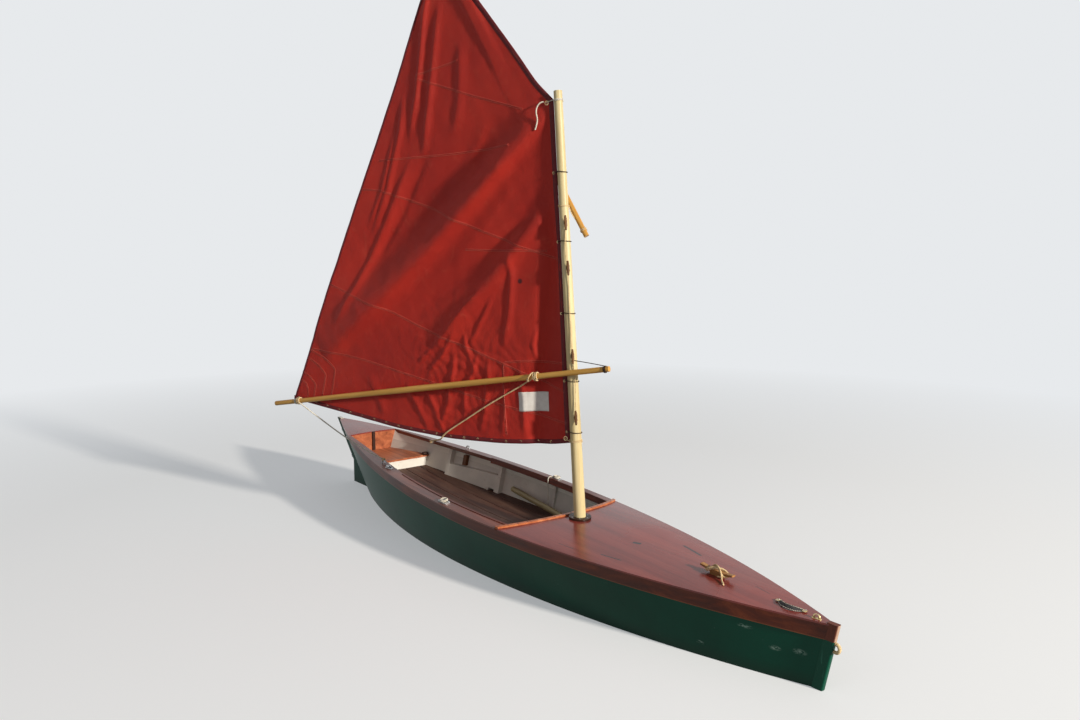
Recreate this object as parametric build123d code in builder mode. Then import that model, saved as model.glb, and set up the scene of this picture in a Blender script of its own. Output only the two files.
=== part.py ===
# Open sailing dinghy, double ended, with a mahogany deck and a tanbark spritsail.
# Millimetres. X points forward from amidships, Y to port, Z up from the water.
from build123d import *
import os
from math import cos, radians, sin, sqrt

os.makedirs("parts", exist_ok=True)

# Hull form: two level outlines, each of two arcs a side, with straight flare between
low_level = -200
low_half = 350
low_bow = 2283
low_stern = -1772
high_level = 600
high_half = 521
high_bow = 2451
high_stern = -2496
widest_x = 25

# Keel line: a long arc forward, a flat and a tighter arc up to the sternpost
keel_z = -130
keel_bow_x = 2500
keel_bow_z = -47
flat_end_x = -875
keel_stern_x = -2500
keel_stern_z = 424
deadrise = 8

# Deck surface: one cylinder, tilted up towards the stern
deck_radius = 3400
deck_bow_x = 2395
deck_bow_z = 315
deck_slope = 0.0355
deck_thickness = 9

# Planking
strake_proud = 5
plank = 9
bottom_thickness = 9
strake_depth = 78

# Centreline timbers
stem_width = 28
stem_depth = 46
stem_proud = 8
stem_foot_z = -92
stem_rise = 5
post_width = 28
post_depth = 52
post_proud = 6
post_foot_z = 150
keel_width = 24
keel_depth = 30
skeg_x = -2125

# Deck openings: a round fore edge, level side decks, then straight edges aft
foredeck_end_x = 625
foredeck_edge_radius = 918
trim_thickness = 20
trim_rise = 10
side_deck_end_x = -695
side_deck_width = 66
quarter_fore_half = 358
quarter_aft_half = 193
aft_deck_start_x = -1800
coaming_thickness = 14
coaming_depth = 34
coaming_rise = 4
carlin_thickness = 14
carlin_depth = 16

# Frames, floor and seat; the floor follows the rocker aft of its bend
knee_reach = 50
beam_depth = 45
floor_z = 152
floor_bend_x = 100
floor_aft_z = 234
floor_thickness = 12
board_width = 118
board_gap = 5
board_count = 7
floor_start_x = 650
seat_x = -1415
seat_z = 316
seat_thickness = 14
seat_lip = 12
seat_front_thickness = 10
bulkhead_thickness = 9
king_post_width = 22
king_post_depth = 12
ledge_width = 35
ledge_z = 290
limber_x = -680
limber_length = 60
limber_height = 18
joint_gap = 0.3

# Mast, raked aft; the sail's plane is swung out to starboard
mast_x = 695
mast_z = 380
mast_rake = 5.04
sail_swing = 22
mast_top = 2400
mast_deck_radius = 34
mast_top_radius = 24
mast_heel_radius = 29
mast_straight = 70
tenon_radius = 20
tenon_length = 40
bearing_clearance = 0.5
collar_radius = 64
collar_lap = 14
collar_height = 12
step_length = 156
step_width = 110
step_height = 60
heel_clearance = 6

# Sail corners in the rig's plane: aft of the mast line, up from the deck
luff_gap = 6
seat_gap = 0.4
tack_up = 428
throat_up = 2357
peak_aft = 761
peak_up = 3388
clew_aft = 2179
clew_up = 668
leech_bulge = 22
foot_sag = 92
sail_thickness = 4

# Spars
boom_fore_aft = -256
boom_fore_up = 852
boom_end_aft = 2333
boom_end_up = 639
boom_radius = 20
boom_end_radius = 16
boom_end_length = 330
sprit_heel_aft = -110
sprit_heel_up = 1589
sprit_past_peak = 45
sprit_radius = 18
sprit_end_radius = 15
sprit_end_length = 300
sprit_tip_radius = 11
sprit_neck = 8
sprit_shoulder = 2

# Deck fittings
cleat_x = 1717
cleat_length = 200
cleat_base = 76
cleat_width = 24
cleat_height = 34
cleat_waist_z = 27
cleat_horn_z = 25
cleat_neck_z = 14
handle_x = 2150
handle_length = 165
handle_width = 22
handle_pad = 22
handle_arch = 16
handle_strap = 5
bow_eye_z = 214
bow_eye_height = 46
bow_eye_reach = 30
bow_eye_bar = 8
socket_x = -60
socket_inset = 36
socket_length = 86
socket_width = 40
socket_base = 7
socket_boss = 17
socket_rise = 16
socket_bore = 6.5
socket_hole_slack = 0.5
quarter_eye_x = -985
quarter_eye_inset = 49
quarter_eye_span = 46
quarter_eye_rise = 30
quarter_eye_bar = 7
backing_block_x = -1010
backing_block_length = 34
backing_block_height = 72
backing_block_depth = 24
backing_block_z = 298
gudgeon_levels = (400, 215)
gudgeon_bore = 5
gudgeon_wall = 4
gudgeon_height = 24
gudgeon_offset = 17

# Stowed oar on the port side of the floor
oar_grip_x = -475
oar_grip_z = 224
oar_blade_x = 1375
oar_blade_y = 156
oar_radius = 19
oar_blade_length = 500
oar_blade_width = 110
oar_blade_thickness = 14
oar_wall_gap = 1

reach_margin = 60
far = 900

hull_levels = [
    # level, half breadth, bow end, stern end
    (low_level, low_half, low_bow, low_stern),
    (high_level, high_half, high_bow, high_stern),
]


def reach(full, half, inset):
    """How far an arc still reaches along the centreline once it is moved in."""
    radius = (full**2 + half**2) / (2 * half)
    return sqrt((radius - inset) ** 2 - (radius - half) ** 2)


def half_hull(inset):
    """The port half of the hull's envelope, moved in by inset."""
    with BuildPart() as body:
        for level, half, bow, stern in hull_levels:
            with BuildSketch(Plane.XY.offset(level)):
                with BuildLine():
                    widest = (widest_x, half - inset)
                    fore = (widest_x + reach(bow - widest_x, half, inset), 0)
                    aft = (widest_x - reach(widest_x - stern, half, inset), 0)
                    TangentArc(widest, fore, tangent=(1, 0))
                    TangentArc(widest, aft, tangent=(-1, 0))
                    Line(fore, aft)
                make_face()
        loft(ruled=True)
    return body.part


def under_deck(drop):
    """Everything below the crowned deck surface once that is lowered by drop."""
    start = (deck_bow_x + reach_margin, 0, deck_bow_z - deck_slope * reach_margin - drop)
    sag = deck_radius - sqrt(deck_radius**2 - far**2)
    with BuildPart() as body:
        with BuildSketch(Plane(origin=start, x_dir=(0, 1, 0), z_dir=(-1, 0, deck_slope))):
            with BuildLine():
                ThreePointArc((-far, sag), (0, 0), (far, sag))
                Polyline((far, sag), (far, 2 * far), (-far, 2 * far), (-far, sag))
            make_face()
        extrude(amount=2 * deck_bow_x + 4 * reach_margin)
    return body.part


def above_bottom(lift):
    """Everything above the port half of the V bottom once that is raised by lift."""
    with BuildPart() as body:
        with BuildSketch(Plane.XZ):
            with BuildLine():
                fore = (keel_bow_x, keel_bow_z + lift)
                low = (widest_x, keel_z + lift)
                flat_end = (flat_end_x, keel_z + lift)
                aft = (keel_stern_x, keel_stern_z + lift)
                TangentArc(low, fore, tangent=(1, 0))
                Line(low, flat_end)
                TangentArc(flat_end, aft, tangent=(-1, 0))
                Polyline(aft, (keel_stern_x, far), (keel_bow_x, far), fore)
            make_face()
        extrude(amount=far, dir=(0, cos(radians(deadrise)), sin(radians(deadrise))))
    return body.part


def deck_height(x, y):
    """Height of the deck surface over a point of the plan."""
    crown = (deck_radius - sqrt(deck_radius**2 - y**2)) * sqrt(1 + deck_slope**2)
    return deck_bow_z + deck_slope * (deck_bow_x - x) - crown


def deck_plane(x, y):
    """The plane that touches the deck over a point of the plan, its x running aft."""
    aft = Vector(-1, 0, deck_slope).normalized()
    up = Vector(deck_slope, 0, 1).normalized()
    outward = up * sqrt(deck_radius**2 - y**2) + Vector(0, y, 0)
    return Plane(origin=(x, y, deck_height(x, y)), x_dir=aft, z_dir=outward)


def deck_profile_plane(x, y):
    """Upright plane along the deck over a point: x runs aft, y stands off the deck."""
    base = deck_plane(x, y)
    return Plane(origin=base.origin, x_dir=base.x_dir, z_dir=base.x_dir.cross(base.z_dir))


def above_floor(lift):
    """Everything above the floor's top once that is raised by lift."""
    with BuildPart() as body:
        with BuildSketch(Plane.XZ):
            with BuildLine():
                Line((keel_bow_x, floor_z + lift), (floor_bend_x, floor_z + lift))
                TangentArc((floor_bend_x, floor_z + lift), (seat_x, floor_aft_z + lift), tangent=(-1, 0))
                Polyline(
                    (seat_x, floor_aft_z + lift),
                    (keel_stern_x, floor_aft_z + lift),
                    (keel_stern_x, far),
                    (keel_bow_x, far),
                    (keel_bow_x, floor_z + lift),
                )
            make_face()
        extrude(amount=far, both=True)
    return body.part


def aft_of_foredeck(inset):
    """Everything aft of the foredeck's round edge once that is moved aft by inset."""
    centre_x = foredeck_end_x - foredeck_edge_radius
    with BuildPart() as body:
        with BuildSketch(Plane.XY.offset(-far)):
            with Locations((centre_x, 0)):
                Circle(foredeck_edge_radius - inset)
            with Locations((centre_x - 2 * far, 0)):
                Rectangle(4 * far, 2 * far)
        extrude(amount=2 * far)
    return body.part


def quarter_opening(inset):
    """The opening between the quarter decks, its straight sides moved outboard by inset."""
    with BuildPart() as body:
        with BuildSketch(Plane.XY.offset(-far)):
            Polygon(
                (side_deck_end_x, quarter_fore_half + inset),
                (side_deck_end_x, -quarter_fore_half - inset),
                (aft_deck_start_x, -quarter_aft_half - inset),
                (aft_deck_start_x, quarter_aft_half + inset),
                align=None,
            )
        extrude(amount=2 * far)
    return body.part


def arch_bar(plane, span, rise, bar):
    """A flat bar bent to an arch with square feet, standing on a plane's x line."""
    half = span / 2
    with BuildPart() as arch:
        with BuildSketch(plane):
            with BuildLine():
                FilletPolyline((-half, 0), (-half, rise), (half, rise), (half, 0), radius=half - 1)
                Line((half, 0), (half - bar, 0))
                FilletPolyline(
                    (half - bar, 0),
                    (half - bar, rise - bar),
                    (bar - half, rise - bar),
                    (bar - half, 0),
                    radius=half - bar - 1,
                )
                Line((bar - half, 0), (-half, 0))
            make_face()
        extrude(amount=bar / 2, both=True)
    return arch.part


def bow_x(z):
    return low_bow + (high_bow - low_bow) * (z - low_level) / (high_level - low_level)


def stern_x(z):
    return low_stern + (high_stern - low_stern) * (z - low_level) / (high_level - low_level)


def half_breadth(x, z):
    """Half breadth of the outer hull at a station and a height."""
    part_up = (z - low_level) / (high_level - low_level)
    half = low_half + (high_half - low_half) * part_up
    full = bow_x(z) - widest_x if x > widest_x else widest_x - stern_x(z)
    radius = (full**2 + half**2) / (2 * half)
    return sqrt(radius**2 - (x - widest_x) ** 2) - radius + half


def station_slab(fore_x, aft_x):
    """All the space between two stations."""
    with BuildPart() as slab:
        with BuildSketch(Plane.YZ.offset(aft_x)):
            Rectangle(2 * far, 4 * far)
        extrude(amount=fore_x - aft_x)
    return slab.part


def level_slab(low_z, high_z):
    """All the space between two heights."""
    with BuildPart() as slab:
        with BuildSketch(Plane.XY.offset(low_z)):
            Rectangle(6 * far, 2 * far)
        extrude(amount=high_z - low_z)
    return slab.part


def both_sides(port_part):
    """A port half joined to its mirror image."""
    with BuildPart() as whole:
        add(port_part)
        mirror(about=Plane.XZ)
    return whole.part


def save(part, name):
    part.label = name
    export_step(part, "parts/" + name + ".step")


def save_pair(port_part, name):
    """Write the port piece and its mirror image to starboard."""
    save(port_part, name + "_port")
    with BuildPart() as starboard:
        add(port_part)
        mirror(about=Plane.XZ, mode=Mode.REPLACE)
    save(starboard.part, name + "_starboard")


# Envelopes that the planks, panels, decks and frames are cut from
skin_inside = strake_proud + plank
hull_outer = half_hull(0)
hull_skin = half_hull(strake_proud)
hull_inside = half_hull(skin_inside)
over_bottom = above_bottom(0)
over_panel = above_bottom(bottom_thickness)
below_deck_top = under_deck(0)
below_deck = under_deck(deck_thickness)
below_strake = under_deck(strake_depth)

# Stem: raked timber, rounded along its face
with BuildPart() as stem:
    stem_head_z = deck_bow_z + stem_rise
    with BuildSketch(Plane.XZ):
        with BuildLine():
            Polyline(
                (bow_x(stem_foot_z) + stem_proud, stem_foot_z),
                (bow_x(stem_head_z) + stem_proud, stem_head_z),
                (bow_x(stem_head_z) - stem_depth, stem_head_z),
                (bow_x(stem_foot_z) - stem_depth, stem_foot_z),
                close=True,
            )
        make_face()
    extrude(amount=stem_width / 2, both=True)
    face_edges = stem.edges().filter_by(lambda edge: edge.length > stem_head_z - stem_foot_z)
    fillet(face_edges.sort_by(Axis.X)[-2:], radius=stem_proud)
save(stem.part, "stem")

# Sternpost: raked timber from the skeg to the aft deck
with BuildPart() as sternpost:
    post_head_z = deck_height(high_stern, 0)
    with BuildSketch(Plane.XZ):
        with BuildLine():
            Polyline(
                (stern_x(post_foot_z) - post_proud, post_foot_z),
                (stern_x(post_head_z) - post_proud, post_head_z),
                (stern_x(post_head_z) + post_depth, post_head_z),
                (stern_x(post_foot_z) + post_depth, post_foot_z),
                close=True,
            )
        make_face()
    extrude(amount=post_width / 2, both=True)
save(sternpost.part, "sternpost")

# Keel and skeg in one length, scribed to the V of the bottom
with BuildPart() as keel:
    keel_fore_x = bow_x(stem_foot_z) - stem_depth / 2
    with BuildSketch(Plane.XZ):
        with BuildLine():
            TangentArc(
                (widest_x, keel_z - keel_depth),
                (keel_bow_x, keel_bow_z - keel_depth),
                tangent=(1, 0),
            )
            Polyline(
                (widest_x, keel_z - keel_depth),
                (skeg_x, keel_z - keel_depth),
                (skeg_x, seat_z),
                (keel_bow_x, seat_z),
                (keel_bow_x, keel_bow_z - keel_depth),
            )
        make_face()
    extrude(amount=keel_width / 2, both=True)
    add(station_slab(keel_fore_x, skeg_x), mode=Mode.INTERSECT)
    add(both_sides(over_bottom), mode=Mode.SUBTRACT)
    add(stem.part, mode=Mode.SUBTRACT)
    add(sternpost.part, mode=Mode.SUBTRACT)
save(keel.part, "keel_and_skeg")

# Bottom panels
with BuildPart() as bottom_port:
    add(hull_skin)
    add(over_bottom, mode=Mode.INTERSECT)
    add(over_panel, mode=Mode.SUBTRACT)
    add(stem.part, mode=Mode.SUBTRACT)
    add(sternpost.part, mode=Mode.SUBTRACT)
save_pair(bottom_port.part, "bottom")

# Topside planks
with BuildPart() as topside_port:
    add(hull_skin)
    add(hull_inside, mode=Mode.SUBTRACT)
    add(over_panel, mode=Mode.INTERSECT)
    add(below_strake, mode=Mode.INTERSECT)
    add(stem.part, mode=Mode.SUBTRACT)
    add(sternpost.part, mode=Mode.SUBTRACT)
save_pair(topside_port.part, "topside")

# Sheer strakes, thicker than the planks below them
with BuildPart() as strake_port:
    add(hull_outer)
    add(hull_inside, mode=Mode.SUBTRACT)
    add(below_deck, mode=Mode.INTERSECT)
    add(below_strake, mode=Mode.SUBTRACT)
    add(stem.part, mode=Mode.SUBTRACT)
    add(sternpost.part, mode=Mode.SUBTRACT)
save_pair(strake_port.part, "sheer_strake")

# Deck skin, cut into foredeck, side decks, quarter decks and aft deck
with BuildPart() as deck_skin_port:
    add(hull_outer)
    add(below_deck_top, mode=Mode.INTERSECT)
    add(below_deck, mode=Mode.SUBTRACT)
    add(stem.part, mode=Mode.SUBTRACT)
    add(sternpost.part, mode=Mode.SUBTRACT)
deck_skin = both_sides(deck_skin_port.part)

rake = radians(mast_rake)
swing = radians(sail_swing)
mast_foot = Vector(mast_x, 0, mast_z)
mast_up = Vector(-sin(rake), 0, cos(rake))
sail_aft = Vector(-cos(rake) * cos(swing), -sin(swing), -sin(rake) * cos(swing))
sail_plane = Plane(origin=mast_foot, x_dir=sail_aft, z_dir=sail_aft.cross(mast_up))
mast_plane = Plane(origin=mast_foot, x_dir=(0, 1, 0), z_dir=mast_up)

with BuildPart() as foredeck:
    add(deck_skin)
    add(aft_of_foredeck(0), mode=Mode.SUBTRACT)
    with BuildSketch(mast_plane.offset(-far / 2)):
        Circle(collar_radius - collar_lap)
    extrude(amount=far, mode=Mode.SUBTRACT)
save(foredeck.part, "foredeck")

behind_trim = aft_of_foredeck(trim_thickness)
socket_y = half_breadth(socket_x, deck_height(socket_x, low_half)) - socket_inset
socket_plane = deck_plane(socket_x, socket_y)
with BuildPart() as side_deck_port:
    add(deck_skin_port.part)
    add(half_hull(side_deck_width), mode=Mode.SUBTRACT)
    add(behind_trim, mode=Mode.INTERSECT)
    add(station_slab(foredeck_end_x, side_deck_end_x), mode=Mode.INTERSECT)
    with BuildSketch(socket_plane):
        Circle(socket_bore + socket_hole_slack)
    extrude(amount=2 * deck_thickness, both=True, mode=Mode.SUBTRACT)
save_pair(side_deck_port.part, "side_deck")

# Quarter decks, each with a straight carlin under its inner edge
with BuildPart() as carlin:
    add(hull_inside)
    add(below_deck, mode=Mode.INTERSECT)
    add(under_deck(deck_thickness + carlin_depth), mode=Mode.SUBTRACT)
    add(quarter_opening(carlin_thickness), mode=Mode.INTERSECT)
    add(quarter_opening(0), mode=Mode.SUBTRACT)
with BuildPart() as quarter_deck_port:
    add(deck_skin_port.part)
    add(station_slab(side_deck_end_x, aft_deck_start_x), mode=Mode.INTERSECT)
    add(quarter_opening(0), mode=Mode.SUBTRACT)
    add(carlin.part)
save_pair(quarter_deck_port.part, "quarter_deck")

with BuildPart() as aft_deck:
    add(deck_skin)
    add(station_slab(aft_deck_start_x, high_stern - reach_margin), mode=Mode.INTERSECT)
save(aft_deck.part, "aft_deck")

# Coamings along the cockpit's forward half
with BuildPart() as coaming_port:
    add(half_hull(side_deck_width))
    add(half_hull(side_deck_width + coaming_thickness), mode=Mode.SUBTRACT)
    add(under_deck(-coaming_rise), mode=Mode.INTERSECT)
    add(under_deck(coaming_depth), mode=Mode.SUBTRACT)
    add(behind_trim, mode=Mode.INTERSECT)
    add(station_slab(foredeck_end_x, side_deck_end_x), mode=Mode.INTERSECT)
save_pair(coaming_port.part, "coaming")

# Trim round the foredeck's aft edge
with BuildPart() as trim:
    add(both_sides(half_hull(strake_proud)))
    add(under_deck(-trim_rise), mode=Mode.INTERSECT)
    add(below_deck, mode=Mode.SUBTRACT)
    add(aft_of_foredeck(0), mode=Mode.INTERSECT)
    add(behind_trim, mode=Mode.SUBTRACT)
save(trim.part, "foredeck_trim")

# Frames: a floor timber, two sides and a knee under each side deck
inside = both_sides(hull_inside)
over_panels = both_sides(over_panel)
knee_opening = both_sides(half_hull(knee_reach))
under_beam = under_deck(deck_thickness + beam_depth)
over_floor_top = above_floor(0)
over_floor_underside = above_floor(-floor_thickness)
aft_frame_x = -1140

frame_table = [
    # name, forward face, thickness, side width, knee depth, deck beam over the opening
    ("partner_frame", 650, 40, 40, 60, True),
    ("fore_frame", -50, 20, 18, 40, False),
    ("mid_frame", -600, 30, 42, 60, False),
    ("aft_frame", aft_frame_x, 30, 40, 50, False),
]
frames = []
for frame_name, frame_x, thickness, width, knee_depth, has_beam in frame_table:
    with BuildPart() as opening:
        add(knee_opening)
        add(over_floor_underside, mode=Mode.INTERSECT)
        add(under_beam if has_beam else below_deck_top, mode=Mode.INTERSECT)
    with BuildPart() as lower_opening:
        add(both_sides(half_hull(skin_inside + width)))
        add(over_floor_underside, mode=Mode.INTERSECT)
        add(under_deck(deck_thickness + knee_depth), mode=Mode.INTERSECT)
    with BuildPart() as frame:
        add(inside)
        add(over_panels, mode=Mode.INTERSECT)
        add(below_deck, mode=Mode.INTERSECT)
        add(station_slab(frame_x, frame_x - thickness), mode=Mode.INTERSECT)
        add(opening.part, mode=Mode.SUBTRACT)
        add(lower_opening.part, mode=Mode.SUBTRACT)
    save(frame.part, frame_name)
    frames.append(frame.part)
mid_frame_fore_x, mid_frame_thickness = frame_table[2][1:3]
mid_frame_aft_x = mid_frame_fore_x - mid_frame_thickness

# Ledges that stand on the floor between the mid and aft frames, with a limber hole
with BuildPart() as limber:
    add(station_slab(limber_x + limber_length / 2, limber_x - limber_length / 2))
    add(above_floor(limber_height), mode=Mode.SUBTRACT)
with BuildPart() as riser_port:
    add(hull_inside)
    add(half_hull(skin_inside + ledge_width), mode=Mode.SUBTRACT)
    add(level_slab(floor_z, ledge_z), mode=Mode.INTERSECT)
    add(over_floor_top, mode=Mode.INTERSECT)
    add(station_slab(mid_frame_aft_x, aft_frame_x), mode=Mode.INTERSECT)
    add(limber.part, mode=Mode.SUBTRACT)
save_pair(riser_port.part, "riser")

# Blocks on the planking under the quarter eyes
with BuildPart() as eye_backing_port:
    block_aft_x = backing_block_x - backing_block_length / 2
    add(hull_inside)
    add(half_hull(skin_inside + backing_block_depth), mode=Mode.SUBTRACT)
    add(level_slab(backing_block_z, backing_block_z + backing_block_height), mode=Mode.INTERSECT)
    add(station_slab(block_aft_x + backing_block_length, block_aft_x), mode=Mode.INTERSECT)
save_pair(eye_backing_port.part, "eye_backing")

# Floorboards, bent to the rocker, notched round the frames and butted over the mid frame
with BuildPart() as floorboards:
    butt_x = mid_frame_fore_x - mid_frame_thickness / 2
    with BuildSketch(Plane.XY):
        with Locations(((floor_start_x + seat_x) / 2, 0)):
            with GridLocations(0, board_width + board_gap, 1, board_count):
                Rectangle(floor_start_x - seat_x, board_width)
    extrude(amount=far)
    add(over_floor_underside, mode=Mode.INTERSECT)
    add(over_floor_top, mode=Mode.SUBTRACT)
    add(both_sides(half_hull(skin_inside + joint_gap)), mode=Mode.INTERSECT)
    add(station_slab(butt_x + joint_gap, butt_x - joint_gap), mode=Mode.SUBTRACT)
    for frame_part in frames:
        add(frame_part, mode=Mode.SUBTRACT)
save(floorboards.part, "floorboards")

# Aft seat, its front and the bulkhead under the aft deck, with a post down its middle
with BuildPart() as seat_front:
    add(inside)
    add(over_panels, mode=Mode.INTERSECT)
    add(level_slab(-far, seat_z - seat_thickness), mode=Mode.INTERSECT)
    add(station_slab(seat_x, seat_x - seat_front_thickness), mode=Mode.INTERSECT)
save(seat_front.part, "seat_front")

with BuildPart() as seat_top:
    add(inside)
    add(level_slab(seat_z - seat_thickness, seat_z), mode=Mode.INTERSECT)
    add(station_slab(seat_x + seat_lip, aft_deck_start_x), mode=Mode.INTERSECT)
save(seat_top.part, "aft_seat")

with BuildPart() as bulkhead:
    add(inside)
    add(over_panels, mode=Mode.INTERSECT)
    add(below_deck, mode=Mode.INTERSECT)
    add(station_slab(aft_deck_start_x, aft_deck_start_x - bulkhead_thickness), mode=Mode.INTERSECT)
save(bulkhead.part, "aft_bulkhead")

with BuildPart() as king_post:
    with BuildSketch(Plane.XY.offset(seat_z)):
        with Locations((aft_deck_start_x + king_post_depth / 2, 0)):
            Rectangle(king_post_depth, king_post_width)
    extrude(amount=far)
    add(below_deck_top, mode=Mode.INTERSECT)
save(king_post.part, "king_post")

# Mast step, scribed to the bottom panels
step_top_z = keel_z + bottom_thickness + step_height
heel_up = (step_top_z - mast_z) / cos(rake)
step_x = mast_x - heel_up * sin(rake)
with BuildPart() as mast_step:
    with BuildSketch(Plane.XY.offset(keel_z)):
        with Locations((step_x, 0)):
            Rectangle(step_length, step_width)
    extrude(amount=step_top_z - keel_z)
    add(over_panels, mode=Mode.INTERSECT)
    with BuildSketch(mast_plane.offset(heel_up - tenon_length - joint_gap)):
        Circle(tenon_radius + bearing_clearance)
    extrude(amount=far, mode=Mode.SUBTRACT)
save(mast_step.part, "mast_step")

# Collar on the foredeck, round the mast
with BuildPart() as collar:
    with BuildSketch(deck_plane(mast_x, 0)):
        Circle(collar_radius)
    extrude(amount=collar_height)
    with BuildSketch(mast_plane):
        Circle(mast_deck_radius + bearing_clearance)
    extrude(amount=2 * collar_height, both=True, mode=Mode.SUBTRACT)
save(collar.part, "mast_collar")

# Mast, turned about its own raked line
with BuildPart() as mast:
    mast_line = Plane(origin=mast_foot, x_dir=(0, 1, 0), z_dir=(cos(rake), 0, sin(rake)))
    shoulder_up = heel_up + heel_clearance
    with BuildSketch(mast_line):
        with BuildLine():
            Polyline(
                (0, heel_up - tenon_length),
                (tenon_radius, heel_up - tenon_length),
                (tenon_radius, shoulder_up),
                (mast_heel_radius, shoulder_up),
                (mast_deck_radius, -mast_straight),
                (mast_deck_radius, mast_straight),
                (mast_top_radius, mast_top),
                (0, mast_top),
                (0, heel_up - tenon_length),
            )
        make_face()
    revolve(axis=Axis(mast_foot, mast_up))
save(mast.part, "mast")


def mast_radius_at(up):
    """The mast's radius at a distance up from the deck."""
    taper = (mast_deck_radius - mast_top_radius) / (mast_top - mast_straight)
    return mast_deck_radius - taper * (up - mast_straight)


def rig_point(aft, up, side):
    """A point given aft of the mast line, up the mast, and to the sail's port side."""
    return sail_plane.from_local_coords(Vector(aft, up, side))


def spar(start, end, profile):
    """A turned spar; the profile lists distance along it and radius."""
    along = (end - start).normalized()
    across = along.cross(sail_plane.z_dir).normalized()
    with BuildPart() as turned:
        with BuildSketch(Plane(origin=start, x_dir=along, z_dir=across)):
            with BuildLine():
                Polyline((0, 0), *profile, (profile[-1][0], 0), close=True)
            make_face()
        revolve(axis=Axis(start, along))
    return turned.part


def side_along(at_aft, mast_side, corner_aft, corner_side):
    """Side offset of a spar that passes the mast and the sail's corner at set offsets."""
    return mast_side + (corner_side - mast_side) * at_aft / corner_aft


# Sprit boom: against the mast and the clew on the starboard side, fullest at its middle
boom_slope = (boom_end_up - boom_fore_up) / (boom_end_aft - boom_fore_aft)
boom_cross_up = boom_fore_up - boom_slope * boom_fore_aft
boom_side_mast = mast_radius_at(boom_cross_up) + boom_end_radius + seat_gap
boom_side_clew = boom_end_radius + sail_thickness / 2 + seat_gap
boom_fore_side = side_along(boom_fore_aft, boom_side_mast, clew_aft, boom_side_clew)
boom_end_side = side_along(boom_end_aft, boom_side_mast, clew_aft, boom_side_clew)
boom_start = rig_point(boom_fore_aft, boom_fore_up, -boom_fore_side)
boom_end = rig_point(boom_end_aft, boom_end_up, -boom_end_side)
boom_length = (boom_end - boom_start).length
boom_profile = [
    # along, radius
    (0, boom_end_radius),
    (boom_end_length, boom_end_radius),
    (boom_length / 2, boom_radius),
    (boom_length - boom_end_length, boom_end_radius),
    (boom_length, boom_end_radius),
]
save(spar(boom_start, boom_end, boom_profile), "boom")

# Peak sprit: against the mast and the peak on the port side
sprit_slope = (peak_up - sprit_heel_up) / (peak_aft - sprit_heel_aft)
sprit_cross_up = sprit_heel_up - sprit_slope * sprit_heel_aft
sprit_side_mast = mast_radius_at(sprit_cross_up) + sprit_end_radius + seat_gap
sprit_side_peak = sprit_tip_radius + sail_thickness / 2 + seat_gap
sprit_heel_side = side_along(sprit_heel_aft, sprit_side_mast, peak_aft, sprit_side_peak)
sprit_start = rig_point(sprit_heel_aft, sprit_heel_up, sprit_heel_side)
peak_point = rig_point(peak_aft, peak_up, sprit_side_peak)
sprit_along = (peak_point - sprit_start).normalized()
sprit_end = peak_point + sprit_along * sprit_past_peak
sprit_length = (sprit_end - sprit_start).length
sprit_neck_at = sprit_length - sprit_past_peak - sprit_shoulder
sprit_profile = [
    # along, radius; the peak's loop sits against the neck's shoulder
    (0, sprit_end_radius),
    (sprit_end_length, sprit_end_radius),
    (sprit_length / 2, sprit_radius),
    (sprit_neck_at, sprit_tip_radius),
    (sprit_neck_at, sprit_neck),
    (sprit_length, sprit_neck),
]
save(spar(sprit_start, sprit_end, sprit_profile), "sprit")

# Sail, plain: four edges, leech a little full and foot rounded down
with BuildPart() as sail:
    with BuildSketch(sail_plane.offset(-sail_thickness / 2)):
        with BuildLine():
            tack = (mast_radius_at(tack_up) + luff_gap, tack_up)
            throat = (mast_radius_at(throat_up) + luff_gap, throat_up)
            peak = (peak_aft, peak_up)
            clew = (clew_aft, clew_up)
            Polyline(tack, throat, peak)
            SagittaArc(clew, peak, -leech_bulge)
            SagittaArc(tack, clew, -foot_sag)
        make_face()
    extrude(amount=sail_thickness)
save(sail.part, "sail")

# Horn cleat on the foredeck's centreline
with BuildPart() as cleat:
    half_cleat = cleat_length / 2
    with BuildSketch(deck_profile_plane(cleat_x, 0)):
        with BuildLine():
            Polyline(
                (-half_cleat, cleat_height),
                (-half_cleat, cleat_horn_z),
                (-cleat_base / 2, cleat_neck_z),
                (-cleat_base / 2, 0),
                (cleat_base / 2, 0),
                (cleat_base / 2, cleat_neck_z),
                (half_cleat, cleat_horn_z),
                (half_cleat, cleat_height),
            )
            ThreePointArc((half_cleat, cleat_height), (0, cleat_waist_z), (-half_cleat, cleat_height))
        make_face()
    extrude(amount=cleat_width / 2, both=True)
save(cleat.part, "foredeck_cleat")

# Bow handle: an arched strap with a flat pad at each end
with BuildPart() as handle:
    half_span = handle_length / 2
    half_arch = half_span - handle_pad
    with BuildSketch(deck_profile_plane(handle_x, 0)):
        with BuildLine():
            ThreePointArc((-half_arch, handle_strap), (0, handle_arch), (half_arch, handle_strap))
            Polyline(
                (half_arch, handle_strap),
                (half_span, handle_strap),
                (half_span, 0),
                (half_arch, 0),
            )
            ThreePointArc((half_arch, 0), (0, handle_arch - handle_strap), (-half_arch, 0))
            Polyline(
                (-half_arch, 0),
                (-half_span, 0),
                (-half_span, handle_strap),
                (-half_arch, handle_strap),
            )
        make_face()
    extrude(amount=handle_width / 2, both=True)
save(handle.part, "bow_handle")

# Bow eye: a flat bar bent round and set square on the stem's face
bow_run = Vector(high_bow - low_bow, 0, high_level - low_level).normalized()
bow_face = Vector(bow_x(bow_eye_z) + stem_proud, 0, bow_eye_z)
bow_eye_plane = Plane(origin=bow_face, x_dir=bow_run, z_dir=(0, 1, 0))
save(arch_bar(bow_eye_plane, bow_eye_height, bow_eye_reach, bow_eye_bar), "bow_eye")

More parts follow.
